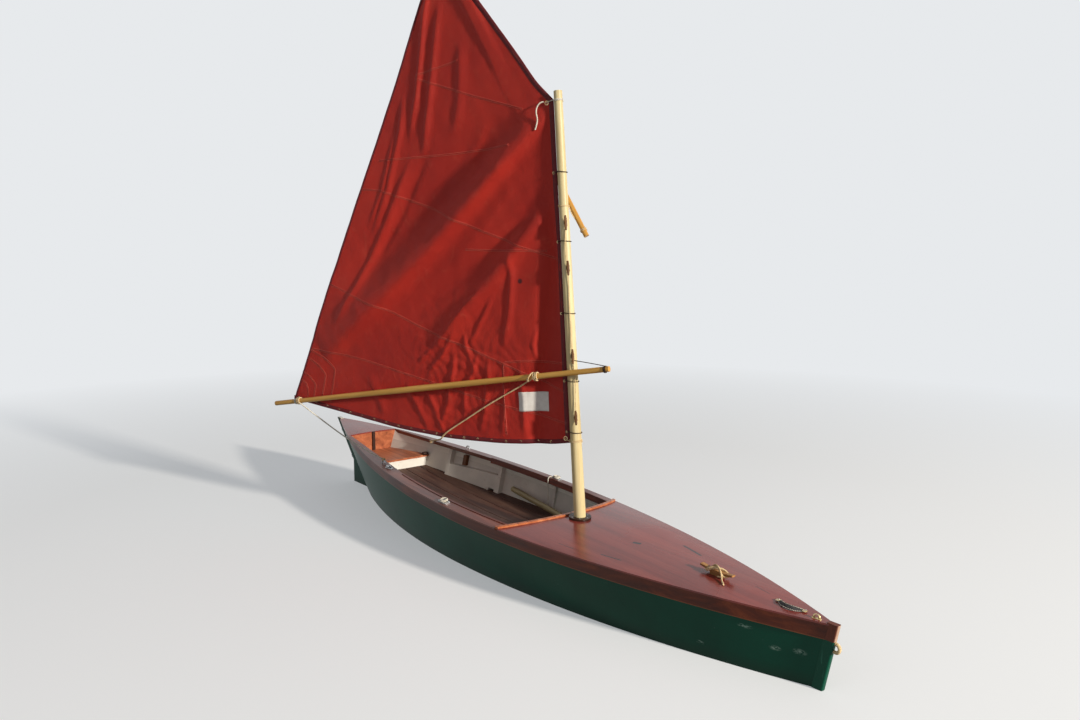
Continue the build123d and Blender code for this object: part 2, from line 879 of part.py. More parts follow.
# Oarlock sockets on the side decks
with BuildPart() as socket_port:
    with BuildSketch(socket_plane):
        RectangleRounded(socket_length, socket_width, socket_width / 4)
    extrude(amount=socket_base)
    with BuildSketch(socket_plane):
        Circle(socket_boss)
    extrude(amount=socket_rise)
    with BuildSketch(socket_plane):
        Circle(socket_bore)
    extrude(amount=socket_rise, mode=Mode.SUBTRACT)
save_pair(socket_port.part, "oarlock_socket")

# Quarter eyes for the sheet, on the quarter decks
quarter_edge = half_breadth(quarter_eye_x, deck_height(quarter_eye_x, quarter_fore_half))
eye_plane = deck_profile_plane(quarter_eye_x, quarter_edge - quarter_eye_inset)
save_pair(arch_bar(eye_plane, quarter_eye_span, quarter_eye_rise, quarter_eye_bar), "quarter_eye")

# Gudgeons on the sternpost, for the rudder that isn't shipped
post_run = Vector(high_stern - low_stern, 0, high_level - low_level).normalized()
post_out = Vector(-post_run.Z, 0, post_run.X)
with BuildPart() as gudgeons:
    for gudgeon_z in gudgeon_levels:
        face_point = Vector(stern_x(gudgeon_z) - post_proud, 0, gudgeon_z)
        base = face_point - post_run * (gudgeon_height / 2)
        base_plane = Plane(origin=base, x_dir=post_out, z_dir=post_run)
        with BuildSketch(base_plane):
            with Locations((gudgeon_offset, 0)):
                Circle(gudgeon_bore + gudgeon_wall)
            with Locations((gudgeon_offset / 2, 0)):
                Rectangle(gudgeon_offset, 2 * gudgeon_bore)
            with Locations((gudgeon_offset, 0)):
                Circle(gudgeon_bore, mode=Mode.SUBTRACT)
        extrude(amount=gudgeon_height)
save(gudgeons.part, "gudgeons")

# Oar stowed to port: grip against the topside, shaft on the floor's fore end
oar_wall = skin_inside + oar_radius + oar_wall_gap
oar_floor_z = floor_z + oar_radius + seat_gap
oar_slope = (oar_grip_z - oar_floor_z) / (floor_start_x - oar_grip_x)
oar_start = Vector(oar_grip_x, half_breadth(oar_grip_x, oar_grip_z) - oar_wall, oar_grip_z)
oar_tip_z = oar_grip_z - oar_slope * (oar_blade_x - oar_grip_x)
oar_tip = Vector(oar_blade_x, oar_blade_y, oar_tip_z)
oar_along = (oar_tip - oar_start).normalized()
oar_length = (oar_tip - oar_start).length
oar_up = oar_along.cross(Vector(0, 1, 0)).normalized() * -1
oar_plane = Plane(origin=oar_start, x_dir=oar_along, z_dir=oar_up)
with BuildPart() as oar:
    with BuildSketch(Plane(origin=oar_start, z_dir=oar_along)):
        Circle(oar_radius)
    extrude(amount=oar_length - oar_blade_length)
    with BuildSketch(oar_plane.offset(-oar_blade_thickness / 2)):
        with Locations((oar_length - oar_blade_length / 2 - oar_radius, 0)):
            SlotOverall(oar_blade_length + 2 * oar_radius, oar_blade_width)
    extrude(amount=oar_blade_thickness)
save(oar.part, "stowed_oar")
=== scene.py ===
import math

import bmesh
import bpy
import numpy as np
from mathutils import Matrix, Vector


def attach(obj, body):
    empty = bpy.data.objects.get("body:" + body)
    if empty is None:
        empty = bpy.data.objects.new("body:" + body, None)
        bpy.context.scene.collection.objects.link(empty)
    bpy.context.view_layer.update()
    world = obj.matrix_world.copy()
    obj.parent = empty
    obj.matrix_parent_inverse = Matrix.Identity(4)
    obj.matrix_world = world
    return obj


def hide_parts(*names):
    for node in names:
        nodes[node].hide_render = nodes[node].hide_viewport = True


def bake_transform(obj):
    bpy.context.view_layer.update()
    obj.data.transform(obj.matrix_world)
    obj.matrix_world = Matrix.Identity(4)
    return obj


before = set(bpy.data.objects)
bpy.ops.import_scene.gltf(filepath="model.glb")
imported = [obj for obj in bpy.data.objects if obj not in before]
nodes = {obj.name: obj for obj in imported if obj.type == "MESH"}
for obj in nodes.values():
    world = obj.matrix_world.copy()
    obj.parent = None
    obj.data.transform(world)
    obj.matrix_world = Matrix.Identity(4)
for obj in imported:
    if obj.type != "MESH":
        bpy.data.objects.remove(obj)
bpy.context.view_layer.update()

# The view. The eye stands on the dock by the starboard bow, 1.95 m above the
# water, and looks aft and a little down; the floor lies at the waterline.
EYE = Vector((4.536, -3.291, 1.95))
HEADING = math.radians(38.0)
LOOK_DOWN = math.radians(7.49)
LENS, SENSOR = 30.43, 36.0  # millimetres


def linked(name, data):
    """A new object in the scene."""
    piece = bpy.data.objects.new(name, data)
    bpy.context.collection.objects.link(piece)
    return piece


camera_data = bpy.data.cameras.new("eye")
camera_data.lens = LENS
camera_data.sensor_width = SENSOR
camera = linked("eye", camera_data)
camera.location = EYE
look = Vector((
    -math.cos(HEADING) * math.cos(LOOK_DOWN),
    math.sin(HEADING) * math.cos(LOOK_DOWN),
    -math.sin(LOOK_DOWN),
))
camera.rotation_euler = look.to_track_quat("-Z", "Y").to_euler()
scene = bpy.context.scene
scene.camera = camera
scene.view_settings.view_transform = "Standard"

# The floor and the light. A pale floor at the waterline that fades into a pale
# backdrop, an even sky, and a soft lamp ahead of the bow that rakes the sail.
BACKDROP = (0.8, 0.82, 0.84, 1)
FLOOR_HALF = 60.0
FADE_FROM, FADE_TO = 3.5, 9.0  # how far out the floor turns into the backdrop


def plug(tree, node, sockets):
    """Gives a node's sockets plain values or other nodes' outputs."""
    for name, value in sockets.items():
        if isinstance(value, bpy.types.NodeSocket):
            tree.links.new(value, node.inputs[name])
        else:
            node.inputs[name].default_value = value
    return node


def put(tree, kind, sockets=None, **settings):
    """A new node with its settings and sockets."""
    node = tree.nodes.new(kind)
    for name, value in settings.items():
        setattr(node, name, value)
    return plug(tree, node, sockets or {})


def new_finish(name, base=None):
    """A fresh material, or a copy of base, with its node tree and its shader."""
    material = base.copy() if base else bpy.data.materials.new(name)
    material.name = name
    material.use_nodes = True
    return material, material.node_tree, material.node_tree.nodes["Principled BSDF"]


def fade(tree, value, low, high, to_low=0.0, to_high=1.0):
    """A value carried from one range to another, held at both ends."""
    return put(tree, "ShaderNodeMapRange", {
        "Value": value, "From Min": low, "From Max": high, "To Min": to_low, "To Max": to_high,
    }).outputs["Result"]


def sums(tree, operation, *values):
    """One step of arithmetic."""
    return put(tree, "ShaderNodeMath", dict(enumerate(values)), operation=operation).outputs[0]


def vector_sums(tree, operation, *values):
    """One step of arithmetic on vectors; lengths, distances and products come out as numbers."""
    node = put(tree, "ShaderNodeVectorMath", dict(enumerate(values)), operation=operation)
    return node.outputs["Value" if operation in ("LENGTH", "DISTANCE", "DOT_PRODUCT") else "Vector"]


def mix(tree, share, first, second, mode="MIX"):
    """Two colours mixed by a share."""
    sockets = {0: share, 6: first, 7: second}
    return put(tree, "ShaderNodeMix", sockets, data_type="RGBA", blend_type=mode).outputs[2]


def here(tree, kind="Object"):
    """A point's place on its object, or its facing if kind is Normal."""
    return put(tree, "ShaderNodeTexCoord").outputs[kind]


def seen_plainly(tree):
    """1 for rays from the eye, also through glass or off a mirror."""
    rays = put(tree, "ShaderNodeLightPath").outputs
    seen = sums(tree, "MAXIMUM", rays["Is Camera Ray"], rays["Is Transmission Ray"])
    return sums(tree, "MAXIMUM", seen, rays["Is Glossy Ray"])


floor_mesh = bpy.data.meshes.new("floor")
floor_mesh.from_pydata([(FLOOR_HALF * x, FLOOR_HALF * y, 0) for x, y in ((-1, -1), (1, -1), (1, 1), (-1, 1))],
                       [], [(0, 1, 2, 3)])
floor = linked("floor", floor_mesh)
floor_finish, tree, shader = new_finish("floor_paint")
seen = seen_plainly(tree)
tone = mix(tree, seen, (0.3, 0.31, 0.33, 1), (0.95, 0.95, 0.95, 1))
plug(tree, shader, {"Base Color": tone, "Roughness": 0.9, "Specular IOR Level": 0.1})
far_out = fade(tree, vector_sums(tree, "LENGTH", here(tree)), FADE_FROM, FADE_TO, 0.35, 1.0)
glow = put(tree, "ShaderNodeEmission", {"Color": BACKDROP, "Strength": fade(tree, seen, 0, 1, 0.25, 1)})
join = put(tree, "ShaderNodeMixShader", {0: far_out, 1: shader.outputs["BSDF"], 2: glow.outputs[0]})
plug(tree, tree.nodes["Material Output"], {"Surface": join.outputs["Shader"]})
floor_mesh.materials.append(floor_finish)

world = bpy.data.worlds.new("studio")
scene.world = world
world.use_nodes = True
tree = world.node_tree
sky = plug(tree, tree.nodes["Background"], {"Color": (0.9, 0.95, 1.0, 1), "Strength": 0.27})
plain = put(tree, "ShaderNodeBackground", {"Color": BACKDROP, "Strength": 1.0})
shown = put(tree, "ShaderNodeMixShader", {0: seen_plainly(tree), 1: sky.outputs[0], 2: plain.outputs[0]})
plug(tree, tree.nodes["World Output"], {"Surface": shown.outputs["Shader"]})


def soft_lamp(name, place, target, size, power, colour):
    """A large square lamp at a place, turned to face a target."""
    lamp_data = bpy.data.lights.new(name, "AREA")
    lamp_data.size = size
    lamp_data.energy = power
    lamp_data.color = colour
    lamp = linked(name, lamp_data)
    lamp.location = place
    lamp.rotation_euler = (Vector(target) - Vector(place)).to_track_quat("-Z", "Y").to_euler()


soft_lamp("key", (22.0, 4.4, 7.9), (0, -0.2, 1.4), 1.3, 7700, (1.0, 0.94, 0.85))
soft_lamp("fill", (2.0, -8.0, 5.0), (0, 0, 0.8), 4.0, 40, (0.96, 0.98, 1.0))

# Topsides, bottom, keel and posts. Plywood in gloss green outside and worn white
# inside; the stem head is bare varnish above the strake's lower edge, paler on its
# forward face with wear and a painted highlight.


def tint(red, green, blue):
    """A colour as a paint card gives it, 0 to 255, turned to the shader's scale."""
    return (*(((c / 255 + 0.055) / 1.055) ** 2.4 if c > 10 else c / 3294.6 for c in (red, green, blue)), 1)


def darker(colour, share):
    """A colour dimmed to a share of itself."""
    return (*(c * share for c in colour[:3]), 1)


def turned(tree, where, scale=(1, 1, 1), turn=(0, 0, 0)):
    """Coordinates turned first and then stretched."""
    if any(turn):
        where = put(tree, "ShaderNodeMapping", {"Vector": where, "Rotation": turn}).outputs["Vector"]
    return put(tree, "ShaderNodeMapping", {"Vector": where, "Scale": scale}).outputs["Vector"]


def cloud(tree, where, scale, detail=2.0, rough=0.5, twist=0.0):
    """Soft random tone from 0 to 1."""
    sockets = {"Vector": where, "Scale": scale, "Detail": detail, "Roughness": rough, "Distortion": twist}
    return put(tree, "ShaderNodeTexNoise", sockets).outputs["Fac"]


def parts(tree, vector):
    """A vector's X, Y and Z."""
    return put(tree, "ShaderNodeSeparateXYZ", {0: vector}).outputs


def band(tree, colours, value):
    """A colour ramp over a value; colours are pairs of place and colour."""
    node = put(tree, "ShaderNodeValToRGB", {"Fac": value})
    stops = node.color_ramp.elements
    while len(stops) < len(colours):
        stops.new(0.5)
    for stop, (place, colour) in zip(stops, colours):
        stop.position = place
        stop.color = colour
    return node.outputs["Color"]


def raise_grain(tree, shader, height, strength, depth):
    """Relief from a height."""
    bump = put(tree, "ShaderNodeBump", {"Height": height, "Strength": strength, "Distance": depth})
    tree.links.new(bump.outputs["Normal"], shader.inputs["Normal"])


SCUFFS = [
    # place on the topsides, reach fore and aft, reach up and down
    ((1.772, -0.173, 0.069), 0.022, 0.012), ((1.996, -0.126, 0.213), 0.04, 0.012),
    ((2.127, -0.075, 0.142), 0.03, 0.014), ((2.233, -0.04, 0.152), 0.034, 0.018),
]


def scuffed(tree, spot, colour):
    """Pale scuffs where the paint has met a dock."""
    broken = fade(tree, cloud(tree, turned(tree, spot, (60, 60, 160)), 1.0, 3.0, 0.7), 0.42, 0.6)
    for centre, long_reach, high_reach in SCUFFS:
        moved = vector_sums(tree, "SUBTRACT", spot, centre)
        away = vector_sums(tree, "LENGTH", vector_sums(
            tree, "MULTIPLY", moved, (1 / long_reach, 0.0, 1 / high_reach)))
        share = sums(tree, "MULTIPLY", fade(tree, away, 0.3, 1.0, 0.8, 0.0), broken)
        colour = mix(tree, share, colour, tint(150, 176, 160))
    return colour


def brushed_paint(name, paint, thin, gloss, wear, outside=None):
    """Brush paint over ply: fore-and-aft strokes, a drifting tone and thin worn spots.
    outside gives a second paint for the faces that look away from the boat."""
    material, tree, shader = new_finish(name)
    spot = here(tree)
    drift = cloud(tree, spot, 2.3, 4.0, 0.6)
    strokes = cloud(tree, turned(tree, spot, (5, 130, 130)), 1.0, 2.0)
    wear_and_highlight = cloud(tree, turned(tree, spot, (7, 16, 16)), 1.0, 5.0, 0.72)
    colour = mix(tree, fade(tree, drift, 0.35, 0.7), paint, darker(paint, 0.72))
    colour = mix(tree, fade(tree, wear_and_highlight, 0.66 - wear, 0.74 - wear * 0.5, 0.0, 0.85), colour, thin)
    shine = fade(tree, drift, 0.3, 0.7, gloss, gloss + 0.14)
    if outside:
        facing, place = parts(tree, here(tree, "Normal")), parts(tree, spot)
        away = sums(tree, "MULTIPLY", facing["Y"], sums(tree, "SIGN", place["Y"]))
        down = sums(tree, "LESS_THAN", facing["Z"], -0.75)
        away = sums(tree, "MAXIMUM", sums(tree, "GREATER_THAN", away, 0.02), down)
        chalky = cloud(tree, turned(tree, spot, (9, 30, 30)), 1.0, 6.0, 0.8)
        skin = mix(tree, fade(tree, drift, 0.3, 0.75), outside, darker(outside, 0.6))
        skin = mix(tree, fade(tree, chalky, 0.66, 0.76, 0.0, 0.4), skin, tint(120, 150, 140))
        skin = scuffed(tree, spot, skin)
        skin = mix(tree, fade(tree, place["Z"], 0.0, 0.07, 0.45, 0.0), skin, tint(30, 38, 30))
        colour = mix(tree, away, colour, skin)
        shine = sums(tree, "MULTIPLY_ADD", away, -0.1, gloss + 0.05)
    plug(tree, shader, {"Base Color": colour, "Roughness": shine, "Specular IOR Level": 0.14})
    raise_grain(tree, shader, sums(tree, "ADD", strokes, wear_and_highlight), 0.22, 0.0012)
    return material


def wear_finish(finish, *names):
    """Puts a finish on CAD nodes."""
    for name in names:
        mesh = nodes[name].data
        mesh.materials.clear()
        mesh.materials.append(finish)


WHITE = tint(232, 227, 216)
OLD_WOOD = tint(150, 128, 98)
GREEN = tint(4, 70, 52)
hull_paint = brushed_paint("hull_paint", WHITE, OLD_WOOD, 0.42, 0.02, outside=GREEN)
wear_finish(hull_paint, "topside_port", "topside_starboard", "bottom_port",
            "bottom_starboard", "keel_and_skeg", "sternpost")

BARE_FROM, BARE_TO = 0.2385, 0.2415  # heights between which the stem's paint gives way to wood
stem_finish, tree, shader = new_finish("stem_finish", hull_paint)
spot = here(tree)
grain = cloud(tree, turned(tree, spot, (30, 30, 4)), 3.0, 4.0)
bare = mix(tree, grain, tint(124, 68, 50), tint(84, 42, 32))
# The stem's forward face is painted pale: bare wear, and a painted highlight where the lamp ahead falls on
# it.
facing = parts(tree, here(tree, "Normal"))["X"]
wear_and_highlight = fade(tree, sums(tree, "ADD", facing, sums(tree, "MULTIPLY", grain, 0.3)), 0.9, 1.15, 0.0, 0.8)
bare = mix(tree, wear_and_highlight, bare, tint(196, 164, 140))
green = mix(tree, fade(tree, grain, 0.62, 0.72, 0.0, 0.5), GREEN, tint(60, 120, 100))
line = fade(tree, parts(tree, spot)["Z"], BARE_FROM, BARE_TO)
plug(tree, shader, {"Base Color": mix(tree, line, green, bare)})
wear_finish(stem_finish, "stem")

# Sheer strakes. Dark mahogany, varnished outside, with a pale line along the lower edge
# as a painted highlight; the inner face is painted with the inside of the boat.
DECK_SLOPE = 0.0355  # the deck falls this much for each metre towards the bow
DECK_CROWN = 0.147  # and this much, times the square of the distance off the centreline
HIGHLIGHT_FROM, HIGHLIGHT_TO = 0.3255, 0.3275  # height of the pale edge, with the slope and crown taken out


def varnished_wood(name, pale, mid, deep, turn=(0, 0, 0), figure=1.0, gloss=0.24, pores=0.35, tone=0.3,
                   sheen=0.22, patch=None):
    """Clear-finished wood from three paint-card colours: long figure, fine pores, a drifting
    tone, dull rubbed places."""
    material, tree, shader = new_finish(name)
    spot = here(tree)
    pale, mid, deep = tint(*pale), tint(*mid), tint(*deep)
    long_way = turned(tree, spot, (0.9 * figure, 17 * figure, 17 * figure), turn)
    streaks = cloud(tree, long_way, 1.0, 5.0, 0.62, 0.6)
    fine = cloud(tree, turned(tree, spot, (9, 420, 420), turn), 1.0, 3.0, 0.7)
    drift = cloud(tree, spot, 1.6, 3.0)
    colour = band(tree, [(0.28, deep), (0.5, mid), (0.72, pale)], streaks)
    colour = mix(tree, fade(tree, fine, 0.5, 0.72, 0.0, pores), colour, darker(deep, 0.3))
    low = fade(tree, drift, 0.3, 0.7, 1.0 - tone, 1.0)
    grey = put(tree, "ShaderNodeCombineColor", {"Red": low, "Green": low, "Blue": low}).outputs[0]
    colour = mix(tree, 1.0, colour, grey, "MULTIPLY")
    if patch:
        colour = patch(tree, spot, colour)
    shine = fade(tree, drift, 0.35, 0.75, gloss, gloss + 0.2)
    plug(tree, shader, {"Base Color": colour, "Roughness": shine, "Specular IOR Level": sheen})
    raise_grain(tree, shader, sums(tree, "ADD", streaks, fine), 0.25, 0.0006)
    return material


def edge_highlight_and_inner_paint(tree, spot, colour):
    """A painted highlight as a pale line along the strake's lower edge, and white paint on its inner face."""
    place = parts(tree, spot)
    crown = sums(tree, "MULTIPLY", sums(tree, "MULTIPLY", place["Y"], place["Y"]), DECK_CROWN)
    slope = sums(tree, "MULTIPLY", place["X"], DECK_SLOPE)
    level = sums(tree, "ADD", sums(tree, "ADD", place["Z"], crown), slope)
    # The pale line along the lower edge is a painted highlight on the strake's edge.
    colour = mix(tree, fade(tree, level, HIGHLIGHT_FROM, HIGHLIGHT_TO, 0.5, 0.0), colour, tint(150, 92, 58))
    facing = parts(tree, here(tree, "Normal"))["Y"]
    away = sums(tree, "MULTIPLY", facing, sums(tree, "SIGN", place["Y"]))
    return mix(tree, sums(tree, "LESS_THAN", away, -0.2), colour, WHITE)


strake_wood = varnished_wood("strake_mahogany", (128, 62, 34), (92, 38, 20), (58, 22, 12), gloss=0.28,
                             patch=edge_highlight_and_inner_paint)
wear_finish(strake_wood, "sheer_strake_port", "sheer_strake_starboard")

# Decks. Ply with a red mahogany face, varnished, with old scores through the gloss
# on the foredeck.
SCORES = [
    # from, to, half width, in plan, metres
    ((1.326, 0.177), (1.496, 0.137), 0.008),
    ((1.16, -0.262), (1.295, -0.235), 0.0042),
    ((1.152, -0.024), (1.196, -0.002), 0.013),
    ((1.905, 0.052), (2.01, 0.034), 0.002),
    ((0.9, -0.33), (1.02, -0.318), 0.0018),
]


def scored(tree, spot, colour):
    """Dark scores, each a short line in plan."""
    for start, end, half in SCORES:
        run = Vector(end) - Vector(start)
        length, along = run.length, run.normalized()
        moved = vector_sums(tree, "SUBTRACT", spot, (*start, 0))
        far_along = vector_sums(tree, "DOT_PRODUCT", moved, (*along, 0))
        across = vector_sums(tree, "DOT_PRODUCT", moved, (-along.y, along.x, 0))
        off_middle = sums(tree, "ABSOLUTE", sums(tree, "SUBTRACT", far_along, length / 2))
        near = fade(tree, sums(tree, "ABSOLUTE", across), half * 0.5, half * 1.3, 1.0, 0.0)
        within = fade(tree, off_middle, length * 0.42, length * 0.5, 1.0, 0.0)
        colour = mix(tree, sums(tree, "MULTIPLY", near, within), colour, tint(14, 5, 5))
    return colour


deck_wood = varnished_wood("deck_mahogany", (154, 70, 58), (138, 58, 50), (116, 46, 40), figure=0.8,
                           gloss=0.13, sheen=0.34, patch=scored)
wear_finish(deck_wood, "foredeck", "aft_deck")
side_wood = varnished_wood("side_mahogany", (150, 84, 62), (112, 56, 42), (74, 32, 24), gloss=0.27,
                           sheen=0.42)
wear_finish(side_wood, "side_deck_port", "side_deck_starboard",
            "quarter_deck_port", "quarter_deck_starboard")

# Coamings and the trim round the foredeck's aft edge. Bright mahogany, oiled and
# varnished, screwed down and bunged; the coamings' wood is painted darker as painted shade.
trim_wood = varnished_wood("trim_mahogany", (216, 142, 94), (192, 110, 68), (152, 80, 46), figure=1.4,
                           gloss=0.25, tone=0.25)
wear_finish(trim_wood, "foredeck_trim")
# The coamings are the trim's mahogany painted much darker: painted shade.
shaded_coaming_wood = varnished_wood("coaming_mahogany_painted_shade", (138, 68, 42), (104, 44, 28), (62, 26, 16), figure=1.4,
                              gloss=0.3)
wear_finish(shaded_coaming_wood, "coaming_port", "coaming_starboard")

# Frames, risers, seat front and mast step. Sawn softwood, glued and screwed to the
# planking, under the same worn white paint as the rest of the inside.
frame_paint = brushed_paint("frame_paint", WHITE, OLD_WOOD, 0.45, 0.05)
wear_finish(frame_paint, "partner_frame", "fore_frame", "mid_frame", "aft_frame",
            "riser_port", "riser_starboard", "seat_front", "mast_step")

# Floorboards. Seven brown softwood boards, worn grey along their middles; each board
# has its own tone.
BOARD_PITCH = 0.123


def board_tones(tree, spot, colour):
    """Each board a shade of its own, with grey foot wear down its middle."""
    across = sums(tree, "ADD", parts(tree, spot)["Y"], BOARD_PITCH / 2)
    row = sums(tree, "FLOOR", sums(tree, "DIVIDE", across, BOARD_PITCH))
    tone = put(tree, "ShaderNodeTexWhiteNoise", {"W": row}, noise_dimensions="1D").outputs["Value"]
    colour = mix(tree, fade(tree, tone, 0, 1, 0.0, 0.45), colour, tint(64, 44, 34))
    worn = cloud(tree, turned(tree, spot, (2.5, 14, 14)), 1.0, 5.0, 0.7)
    return mix(tree, fade(tree, worn, 0.48, 0.7, 0.0, 0.3), colour, tint(124, 96, 80))


floor_wood = varnished_wood("floor_boards", (100, 62, 48), (76, 45, 35), (50, 29, 24), figure=1.6, gloss=0.5,
                            pores=0.6, sheen=0.25, patch=board_tones)
wear_finish(floor_wood, "floorboards")

# Aft seat, bulkhead, king post and the blocks under the quarter eyes. Orange
# varnished ply, with a dark hardwood post down the bulkhead.
UPRIGHT = (0, math.pi / 2, 0)  # the turn for grain that runs up and down
seat_wood = varnished_wood("seat_mahogany", (206, 126, 86), (176, 100, 66), (130, 70, 48), figure=1.2,
                           gloss=0.22)
wear_finish(seat_wood, "aft_seat", "aft_bulkhead")
block_wood = varnished_wood("block_oak", (150, 98, 56), (120, 74, 42), (84, 50, 28), UPRIGHT, gloss=0.4)
wear_finish(block_wood, "eye_backing_port", "eye_backing_starboard")
post_wood = varnished_wood("post_hardwood", (84, 48, 32), (58, 30, 20), (36, 18, 12), UPRIGHT, gloss=0.35)
wear_finish(post_wood, "king_post")

# Mast, boom and sprit. Round spruce spars: the mast pale and clear-varnished, the
# boom and sprit under older golden varnish.
MAST_FOOT = Vector((0.695, 0.0, 0.38))
RAKE = math.radians(5.04)
SWING = math.radians(22.0)
MAST_UP = Vector((-math.sin(RAKE), 0, math.cos(RAKE)))
SAIL_AFT = Vector((
    -math.cos(RAKE) * math.cos(SWING), -math.sin(SWING), -math.sin(RAKE) * math.cos(SWING),
))
SAIL_PORT = SAIL_AFT.cross(MAST_UP)
TACK, CLEW, THROAT, PEAK = (0.037, 0.428), (2.179, 0.668), (0.029, 2.357), (0.761, 3.388)  # aft, up
# Lines and tapers of the spars, each by two points of a place and what it is there.
MAST_TAPER = (0.07, 0.034), (2.4, 0.024)  # up the mast: radius
BOOM_LINE = (-0.256, 0.852), (2.333, 0.639)  # aft: up
BOOM_OUT = (0.0, 0.0471), (2.179, 0.0184)  # aft: to starboard
SPRIT_LINE = (1.589, -0.11), (3.388, 0.761)  # up: aft
SPRIT_OUT = (0.0, 0.0428), (0.761, 0.0134)  # aft: to port


def rig_spot(aft, up, side=0.0):
    """A point given aft of the mast line, up the mast, and to the sail's port side."""
    return MAST_FOOT + SAIL_AFT * aft + MAST_UP * up + SAIL_PORT * side


def on_line(line, place):
    """What a line or taper is at a place."""
    (start, first), (end, last) = line
    return first + (last - first) * (place - start) / (end - start)


def mast_radius(up):
    return on_line(MAST_TAPER, up)


def boom_spot(aft, side=0.0):
    """A point on the boom's own line, moved to port by side."""
    return rig_spot(aft, on_line(BOOM_LINE, aft), side - on_line(BOOM_OUT, aft))


def sprit_spot(up, side=0.0):
    """A point on the sprit's own line, moved to port by side."""
    aft = on_line(SPRIT_LINE, up)
    return rig_spot(aft, up, on_line(SPRIT_OUT, aft) + side)


def grain_along(direction):
    """The turn that lays a direction along X."""
    return tuple(Vector(direction).rotation_difference(Vector((1, 0, 0))).to_euler())


BOOM_RUN = boom_spot(1) - boom_spot(0)
SPRIT_RUN = sprit_spot(3) - sprit_spot(2)
mast_wood = varnished_wood("mast_spruce", (228, 212, 166), (218, 198, 148), (192, 166, 114),
                           grain_along(MAST_UP), figure=1.5, gloss=0.34, pores=0.25, tone=0.14)
wear_finish(mast_wood, "mast")
boom_wood = varnished_wood("boom_spruce", (234, 184, 100), (218, 164, 78), (180, 124, 52),
                           grain_along(BOOM_RUN), figure=1.8, gloss=0.26, pores=0.25, tone=0.2)
wear_finish(boom_wood, "boom")
sprit_wood = varnished_wood("sprit_spruce", (226, 178, 94), (210, 156, 74), (170, 116, 50),
                            grain_along(SPRIT_RUN), figure=1.8, gloss=0.26, pores=0.25, tone=0.2)
wear_finish(sprit_wood, "sprit")

# The mast's collar on the foredeck. A flat ring of dark varnished hardwood, bored
# for the mast and held down by six screws.
collar_wood = varnished_wood("collar_hardwood", (80, 44, 28), (54, 28, 18), (34, 16, 10), figure=1.5,
                             gloss=0.35)
wear_finish(collar_wood, "mast_collar")

# The cleat and the stowed oar: a pale oiled horn cleat on the foredeck, and an ash
# oar lying along the port side of the floor.
cleat_wood = varnished_wood("cleat_oak", (206, 158, 100), (176, 126, 74), (132, 88, 48), figure=2.0,
                            gloss=0.42, pores=0.5)
wear_finish(cleat_wood, "foredeck_cleat")
oar_wood = varnished_wood("oar_ash", (186, 172, 130), (166, 150, 108), (130, 112, 76),
                          grain_along((1.85, -0.29, -0.05)), figure=1.6, gloss=0.36)
wear_finish(oar_wood, "stowed_oar")

